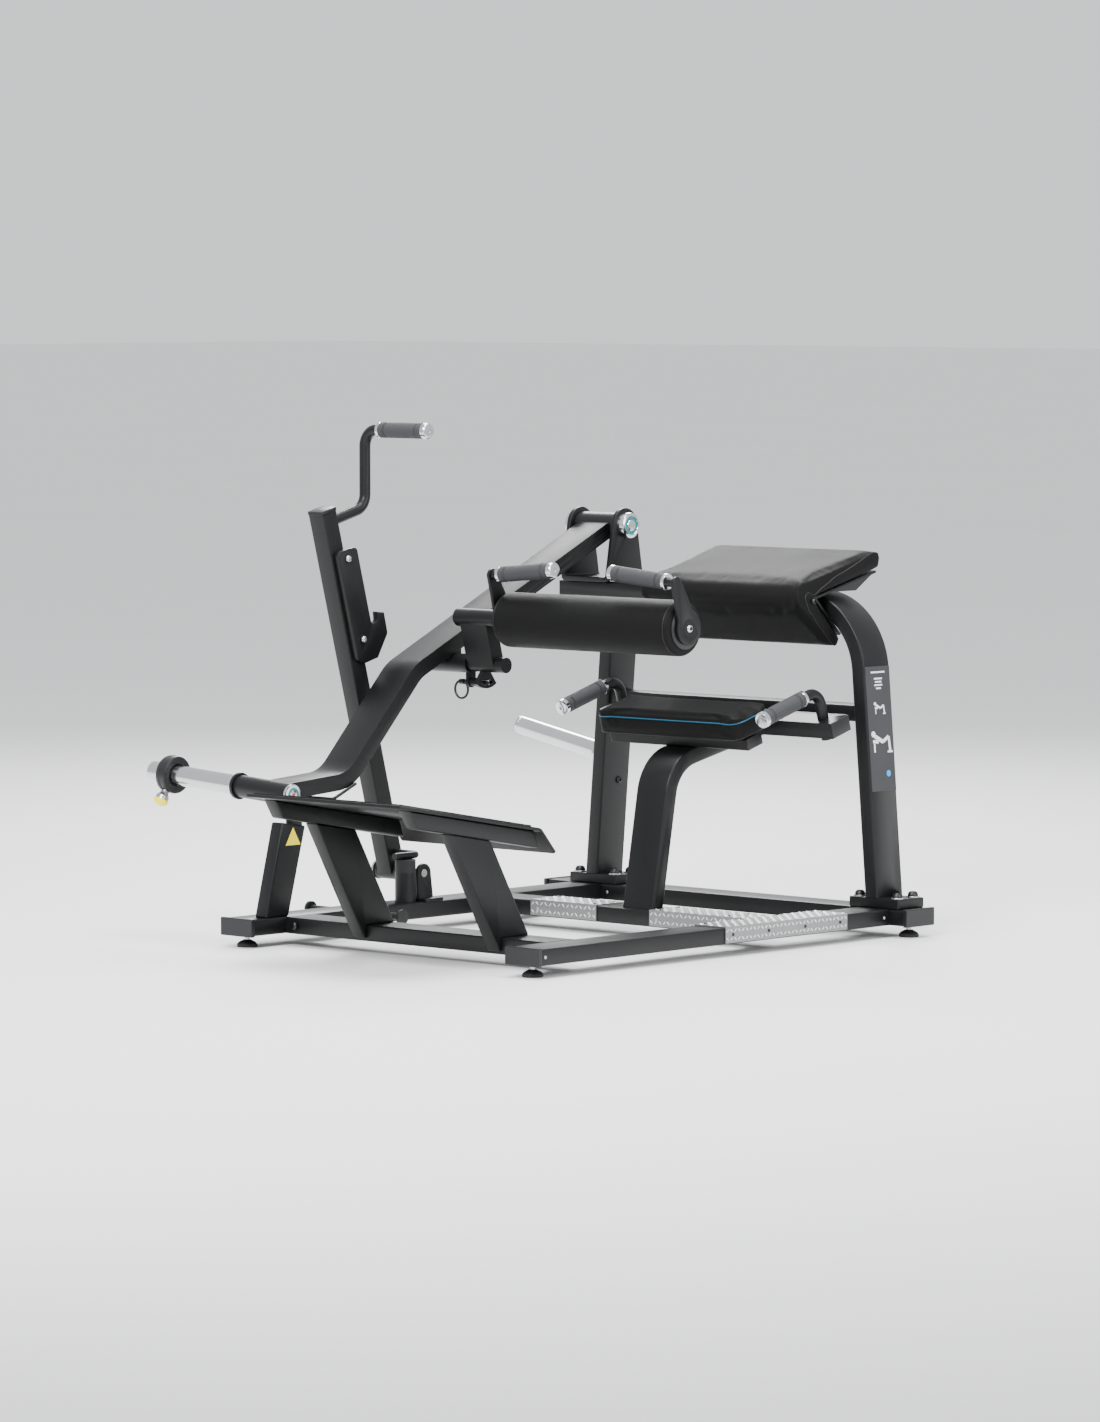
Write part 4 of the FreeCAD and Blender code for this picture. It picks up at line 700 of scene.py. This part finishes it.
class HIP_THRUST_OT_caps(bpy.types.Operator):
    """Make the pivot caps, tube caps, collar and knob"""
    bl_idname = "hip_thrust.caps"
    bl_label = "Caps and collar"
    bl_options = {"REGISTER", "UNDO"}

    def execute(self, context):
        shell = [(0, 13), (0, 33), (15, 33), (18, 32), (20.5, 28.5), (20.9, 24), (19.4, 23), (19.4, 15), (21, 14),
                 (22, 10), (22, 0.01), (15, 0.01), (15, 13), (0, 13)]
        places = [frame_for(at(-544 + side * 82, 1326, 991), X * side) for side in (1, -1)]
        turned_piece("pivot_cap_shells", [(shell, p) for p in places], "chrome", "root", ("pivot_caps",))
        ring = [(19.5, 15.4), (19.9, 15.4), (19.9, 22.6), (19.5, 22.6), (19.5, 15.4)]
        turned_piece("pivot_cap_rings", [(ring, p) for p in places], "teal", "root")
        face = frame_for(horn_point(8), -HORN_AXIS)
        plug = [(-1, 0.01), (-1, 27), (5.5, 27), (8, 25), (8.4, 20), (8.4, 12), (9.4, 10), (9.6, 0.01)]
        turned_piece("weight_tube_cap", [(plug, face)], "chrome", "lever")
        turned_piece("weight_cap_ring", [([(8.45, 12.6), (8.8, 12.6), (8.8, 18), (8.45, 18), (8.45, 12.6)], face)],
                     "teal", "lever")
        turned_piece("weight_cap_centre", [([(9.5, 0.01), (9.5, 5), (10.2, 4.4), (10.2, 0.01)], face)],
                     "red", "lever")
        sleeve_end = frame_for(horn_point(489), HORN_AXIS)
        lid = [(0, 0.01), (0, 24.6), (1.6, 24.2), (2.6, 22), (2.6, 9), (1.6, 8.6), (1.6, 0.01)]
        turned_piece("sleeve_lid", [(lid, sleeve_end)], "chrome", "lever")
        self.collar(horn_point(422))
        return {"FINISHED"}

    def collar(self, middle):
        ring = [(-16, 29), (-16, 43.5), (-14.5, 46), (-11, 47), (-5, 47), (-4, 45.8), (4, 45.8), (5, 47), (11, 47),
                (14.5, 46), (16, 43.5), (16, 29), (12, 25.4), (-12, 25.4), (-16, 29)]
        place = frame_for(middle, HORN_AXIS)
        bm = bmesh.new()
        lathe(bm, ring, place)
        ribs = 28
        for i in range(ribs):
            turn = Matrix.Rotation(2 * math.pi * i / ribs, 4, "Z")
            for low in (-16.6, 14.8):
                prism(bm, [(31, -0.9), (43, -0.9), (43, 0.9), (31, 0.9)], 1.8,
                      place @ turn @ Matrix.Translation((0, 0, low * MM)))
        add_piece("collar_ring", bm, "ribbed", "collar", ("plate_collar",))
        turn = math.radians(31)
        down = HORN_AXIS.cross(Y)
        out = (down * math.cos(turn) - Y * math.sin(turn)).normalized()
        seat = frame_for(middle, out)
        knob = [(25.4, 0.01), (25.4, 4), (46, 4), (46, 10), (53, 10.5), (58, 13), (62, 16.5), (72, 17), (72, 0.01)]
        turned_piece("knob_body", [(knob, seat)], "steel", "knob", ("collar_knob",))
        cap = [(72, 0.01), (72, 17), (72.6, 18.6), (76, 18.4), (80, 16.5), (83, 13), (85, 8), (85.8, 0.01)]
        turned_piece("knob_face", [(cap, seat)], "yellow", "knob")


class HIP_THRUST_OT_feet(bpy.types.Operator):
    """Make the rubber feet and the plugs in the open tube ends"""
    bl_idname = "hip_thrust.feet"
    bl_label = "Feet and plugs"
    bl_options = {"REGISTER", "UNDO"}

    def plug(self, bm, node, axis, across):
        """Plug that closes the end of a tube that lies furthest along axis."""
        up = axis.cross(across).normalized()
        corners = [v.co for v in NODES[node].data.vertices]
        far = max(co.dot(axis) for co in corners)
        rim = [co for co in corners if co.dot(axis) > far - 0.5 * MM]
        spans = [(min(co.dot(way) for co in rim), max(co.dot(way) for co in rim)) for way in (across, up)]
        (a0, a1), (b0, b1) = spans
        base = axis * (far - 4 * MM) + across * (a0 + a1) / 2 + up * (b0 + b1) / 2
        half_a, half_b = (a1 - a0) / 2 / MM - 0.6, (b1 - b0) / 2 / MM - 0.6
        square = Matrix((across, up, axis)).transposed().to_4x4()
        before = set(bm.edges)
        prism(bm, [(-half_a, -half_b), (half_a, -half_b), (half_a, half_b), (-half_a, half_b)], 6.5,
              Matrix.Translation(base) @ square)
        round_edges(bm, [e for e in bm.edges if e not in before], 1.2 * MM, 2)

    def execute(self, context):
        foot = [(0, 0.01), (0, 24), (1, 25), (7, 25), (8, 24.2), (12.5, 20), (16, 13), (18, 9), (18, 0.01)]
        mesh = NODES["levelling_feet"].data
        spots = []
        for co in (v.co for v in mesh.vertices if v.co.z < 0.5 * MM):
            near = next((s for s in spots if (s[0] - co).length < 60 * MM), None)
            if near:
                near.append(co.copy())
            else:
                spots.append([co.copy()])
        middles = []
        for ring in spots:
            xs, ys = [co.x for co in ring], [co.y for co in ring]
            middles.append(Vector(((min(xs) + max(xs)) / 2, (min(ys) + max(ys)) / 2, 0)))
        turned_piece("rubber_feet", [(foot, Matrix.Translation(m)) for m in middles], "rubber", "root",
                     ("levelling_feet",))
        plugs = bmesh.new()
        for node in ("seat_crossbar", "seat_front_bar"):
            for axis in (X, -X):
                self.plug(plugs, node, axis, SEAT_BACKWARDS)
        self.plug(plugs, "gantry", -X, Y)
        add_piece("tube_plugs", plugs, "plastic", "root")
        plug = bmesh.new()
        self.plug(plug, "rack_upright", Vector((0, -math.sin(RACK_LEAN), math.cos(RACK_LEAN))), X)
        add_piece("rack_plug", plug, "plastic", "rack")
        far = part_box("roller_carrier")[0].x
        rim = [v.co for v in NODES["roller_carrier"].data.vertices if v.co.x < far + 0.5 * MM]
        ys, zs = [co.y for co in rim], [co.z for co in rim]
        reach = (max(zs) - min(zs)) / 2 / MM
        middle = Vector((far, (min(ys) + max(ys)) / 2, (min(zs) + max(zs)) / 2))
        lid = [(-4, 0.01), (-4, reach - 3), (0.2, reach - 3), (0.2, reach - 0.6), (1.6, reach - 0.8),
               (2.6, reach - 3), (2.6, 0.01)]
        turned_piece("shaft_plug", [(lid, frame_for(middle, -X))], "plastic", "carrier")
        return {"FINISHED"}


class HIP_THRUST_OT_fasteners(bpy.types.Operator):
    """Make the bolts, washers and small screws"""
    bl_idname = "hip_thrust.fasteners"
    bl_label = "Fasteners"
    bl_options = {"REGISTER", "UNDO"}

    def execute(self, context):
        washers, bolts, screws = [], [], []
        washer = [(0, 12), (0, 16), (2.4, 16), (3, 15.4), (3, 12), (0, 12)]
        for mid in (410, -532):
            for dx in (-60, 60):
                for y in (1296, 1356):
                    place = frame_for(at(mid + dx, y, 95), Z)
                    washers.append((washer, place))
                    bolts.append(([(h + 2.9, r) for h, r in dome_bolt(13, 12, 5)], place))
        turned_piece("base_washers", washers, "steel", "root", ("frame_bolts",))
        for x, y, z, way, r in ((-465, 129, 50, -Y, 9), (-496, 1337, 335, X, 9), (272, 1207, 826, X, 7)):
            bolts.append((dome_bolt(r, 6, 0.45 * r), frame_for(at(x, y, z), way, Z)))
        turned_piece("black_bolts", bolts, "dark_bolt", "root")
        screw = dome_bolt(4, 2.2, 1.5)
        for y in (28, 1256):
            screws.append((screw, frame_for(at(462, y, 50), X)))
        for x in (-323, -149, 76, 338):
            screws.append((screw, frame_for(at(x, 845, 50), -Y, Z)))
        for x in (440, -480):
            screws.append((screw, frame_for(at(x, 1276, 50), -Y, Z)))
        turned_piece("small_screws", screws, "steel", "root")
        side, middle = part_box("side_tread_plate"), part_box("middle_tread_plates")
        tread_screws = []
        for share in (0.06, 0.35, 0.65, 0.94):
            y = side[0].y + share * (side[1].y - side[0].y)
            tread_screws += [(screw, frame_for(Vector((side[1].x, y, (side[0].z + side[1].z) / 2)), X)),
                             (screw, frame_for(Vector((side[0].x + 14 * MM, y, side[1].z)), Z))]
        for x in (-330, -142, 69, 300):
            tread_screws += [(screw, frame_for(Vector((at(x, 0, 0).x, middle[0].y + depth, middle[1].z)), Z))
                             for depth in (14 * MM, 88 * MM)]
        turned_piece("tread_screws", tread_screws, "dark_bolt", "root")
        roller_mid = box_mid("roller_pad")
        end = frame_for(roller_mid + X * 307.5 * MM, X)
        turned_piece("roller_end_bolt", [(dome_bolt(9.5, 5, 5), end)], "chrome", "carrier")
        # A dark disc sits down in the chrome bolt's socket as painted shade in its hollow.
        turned_piece("roller_bolt_socket_painted_shade", [([(3.4, 0.01), (3.4, 4.6), (3.9, 4.6), (3.9, 0.01)], end)], "dark_bolt",
                     "carrier")
        hooks = [(dome_bolt(8.5, 5, 3.5), frame_for(at(-602.2, *self.up_rack(s, 16)), X)) for s in (814, 605)]
        turned_piece("hook_bolts", hooks, "chrome", "rack")
        return {"FINISHED"}

    def up_rack(self, s, n):
        """Place (y, z) at s up and n in front of the rack's middle line."""
        rise, run = math.cos(RACK_LEAN), math.sin(RACK_LEAN)
        return 653 - s * run + n * rise, 139 + s * rise + n * run


class HIP_THRUST_OT_treads(bpy.types.Operator):
    """Raise the chequer bars on the step plates"""
    bl_idname = "hip_thrust.treads"
    bl_label = "Step plates"
    bl_options = {"REGISTER", "UNDO"}

    def bars(self, bm, corner, along, across, length, width):
        """Rows of raised lens-shaped bars, each turned a right angle to the next."""
        pitch = sizes().tread_pitch
        count, rows = int(length / pitch), max(1, int(width / pitch))
        base = Matrix((along, across, along.cross(across))).transposed().to_4x4()
        lens = [(-6.5, 0), (-3, 1.7), (3, 1.7), (6.5, 0), (3, -1.7), (-3, -1.7)]
        for i in range(count):
            for j in range(rows):
                spot = corner + along * ((i + 0.5) * length / count) + across * ((j + 0.5) * width / rows)
                turn = Matrix.Rotation(math.radians(45 if (i + j) % 2 else -45), 4, "Z")
                sunk = Matrix.Translation((0, 0, -0.2 * MM))
                prism(bm, lens, 1.3, Matrix.Translation(spot) @ base @ turn @ sunk, (0.6, 0.5))

    def execute(self, context):
        bm = bmesh.new()
        low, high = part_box("side_tread_plate")
        self.bars(bm, Vector((low.x, high.y, high.z)), -Y, X, high.y - low.y, high.x - low.x)
        self.bars(bm, Vector((high.x, low.y, low.z)), Y, Z, high.y - low.y, high.z - low.z)
        # The raised bars wear the painted-highlight copy of the tread metal.
        add_piece("side_tread_bars", bm, "tread_bar_painted_highlight", "root", crease=25)
        bm = bmesh.new()
        low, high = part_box("middle_tread_plates")
        for x0, x1 in ((-347, -125), (52, 362)):
            start, end = at(x0, 0, 0).x, at(x1, 0, 0).x
            self.bars(bm, Vector((start, low.y, high.z)), X, Y, end - start, high.y - low.y)
            self.bars(bm, Vector((start, low.y, low.z)), X, Z, end - start, high.z - low.z)
        # The raised bars wear the painted-highlight copy of the tread metal.
        add_piece("middle_tread_bars", bm, "tread_bar_painted_highlight", "root", crease=25)
        return {"FINISHED"}


class HIP_THRUST_OT_marks(bpy.types.Operator):
    """Put a plain triangle on the rest post and plain marks on the placard"""
    bl_idname = "hip_thrust.marks"
    bl_label = "Signs"
    bl_options = {"REGISTER", "UNDO"}

    def execute(self, context):
        face = frame_for(at(-506.9, 166, 258), X, Z)
        bm = bmesh.new()
        prism(bm, regular(34, 3, math.pi / 2), 0.6, face)
        add_piece("sign_edge", bm, "plastic", "root")
        bm = bmesh.new()
        prism(bm, regular(29, 3, math.pi / 2), 0.9, face)
        add_piece("sign_plate", bm, "sign", "root")
        low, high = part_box("placard")
        top, foot = Vector((low.x + 2 * MM, 0, high.z)), Vector((high.x, 0, low.z))
        lean = (top - foot).normalized()
        out = Y.cross(lean).normalized()
        mid = (top + foot) / 2 + Y * (low.y + high.y) / 2
        board = Matrix.Translation(mid - out * 0.1 * MM) @ Matrix((Y, lean, out)).transposed().to_4x4()
        white = bmesh.new()
        for up, scale in ((48, 0.7), (-38, 1.25)):
            self.figure(white, board @ Matrix.Translation((0, up * MM, 0)) @ Matrix.Scale(scale, 4))
        for level, width in ((138, 52), (122, 30), (114, 24), (106, 30), (98, 18)):
            prism(white, [(-width / 2, level), (width / 2, level), (width / 2, level + 4), (-width / 2, level + 4)],
                  0.5, board)
        add_piece("placard_marks", white, "mark", "root")
        blue = bmesh.new()
        prism(blue, regular(8, 24), 0.6, board @ Matrix.Translation((20 * MM, -112 * MM, 0)))
        add_piece("placard_dot", blue, "blue", "root")
        return {"FINISHED"}

    def figure(self, bm, place):
        """A plain reclining figure on a bench, from bars and a disc."""
        prism(bm, [(x - 24, y + 20) for x, y in regular(6, 20)], 0.5, place)
        for x0, y0, x1, y1, w in ((-20, 16, 4, 4, 4), (4, 4, 22, 14, 3.4), (22, 14, 25, -14, 3), (-26, 6, -10, 4, 3),
                                  (-22, 2, -22, -16, 2), (17, -16, 32, -16, 2)):
            way = Vector((x1 - x0, y1 - y0)).normalized() * w
            prism(bm, [(x0 + way.y, y0 - way.x), (x1 + way.y, y1 - way.x), (x1 - way.y, y1 + way.x),
                       (x0 - way.y, y0 + way.x)], 0.5, place)


class HIP_THRUST_OT_stage(bpy.types.Operator):
    """Lay the floor, and set the lights and the camera"""
    bl_idname = "hip_thrust.stage"
    bl_label = "Stage"
    bl_options = {"REGISTER", "UNDO"}

    def lamp(self, name, place, target, size, power):
        light = bpy.data.lights.new(name, "AREA")
        light.shape, light.size, light.energy = "DISK", size, power
        lamp = bpy.data.objects.new(name, light)
        lamp.location = place
        lamp.rotation_euler = (target - place).to_track_quat("-Z", "Y").to_euler()
        bpy.context.scene.collection.objects.link(lamp)

    def execute(self, context):
        scene = bpy.context.scene
        lens = bpy.data.cameras.new("camera")
        lens.lens, lens.sensor_width, lens.clip_end = 161.6, 36, 200
        camera = bpy.data.objects.new("camera", lens)
        camera.location = at(10501, -10788, 1652)
        camera.rotation_euler = (math.radians(90 - 3.984), 0, math.radians(42.825))
        scene.collection.objects.link(camera)
        scene.camera = camera
        bm = bmesh.new()
        bmesh.ops.create_grid(bm, x_segments=1, y_segments=1, size=90)
        mesh = bpy.data.meshes.new("floor")
        bm.to_mesh(mesh)
        bm.free()
        pale = Finish("floor_pale", Roughness=0.75)
        pale.wear(Base_Color=pale.between(pale.noise(0.6, 3), (0.86, 0.86, 0.86), (0.9, 0.9, 0.9)))
        mesh.materials.append(pale.material)
        floor = bpy.data.objects.new("floor", mesh)
        scene.collection.objects.link(floor)
        world = bpy.data.worlds.new("studio")
        world.use_nodes = True
        sky = world.node_tree.nodes["Background"]
        sky.inputs[0].default_value = (0.96, 0.98, 1.0, 1)
        sky.inputs[1].default_value = 1.05
        scene.world = world
        middle = Vector((0, 0, 0.6))
        self.lamp("key", Vector((1.6, -4.5, 4.2)), middle, 2.4, 380)
        self.lamp("fill", Vector((5.0, 0.8, 2.6)), middle, 3.0, 150)
        self.lamp("rim", Vector((-3.2, 3.6, 3.8)), middle, 2.2, 260)
        self.lamp("top", Vector((0.0, 0.2, 4.6)), middle, 3.0, 300)
        return {"FINISHED"}


OPERATORS = (HIP_THRUST_OT_finishes, HIP_THRUST_OT_stage, HIP_THRUST_OT_tubes, HIP_THRUST_OT_plates,
             HIP_THRUST_OT_pads, HIP_THRUST_OT_grips, HIP_THRUST_OT_caps, HIP_THRUST_OT_feet, HIP_THRUST_OT_fasteners,
             HIP_THRUST_OT_treads, HIP_THRUST_OT_marks)


class HIP_THRUST_PT_panel(bpy.types.Panel):
    """Sizes, colours and the steps that build the machine"""
    bl_idname = "HIP_THRUST_PT_panel"
    bl_label = "Hip Thrust Machine"
    bl_space_type = "VIEW_3D"
    bl_region_type = "UI"
    bl_category = "Hip Thrust"

    def draw(self, context):
        for group in (context.scene.hip_thrust_sizes, context.scene.hip_thrust_colours):
            for name in group.bl_rna.properties.keys():
                if name not in ("rna_type", "name"):
                    self.layout.prop(group, name)
        for operator in OPERATORS:
            self.layout.operator(operator.bl_idname)


CLASSES = (HipThrustSizes, HipThrustColours, *OPERATORS, HIP_THRUST_PT_panel)


def register():
    for cls in CLASSES:
        bpy.utils.register_class(cls)
    bpy.types.Scene.hip_thrust_sizes = PointerProperty(type=HipThrustSizes)
    bpy.types.Scene.hip_thrust_colours = PointerProperty(type=HipThrustColours)


def unregister():
    del bpy.types.Scene.hip_thrust_colours
    del bpy.types.Scene.hip_thrust_sizes
    for cls in reversed(CLASSES):
        bpy.utils.unregister_class(cls)


def plain(bounds):
    return [[float(c) for c in corner] for corner in bounds]


def main():
    register()
    for operator in OPERATORS:
        group, name = operator.bl_idname.split(".")
        getattr(getattr(bpy.ops, group), name)()


if __name__ == "__main__":
    main()
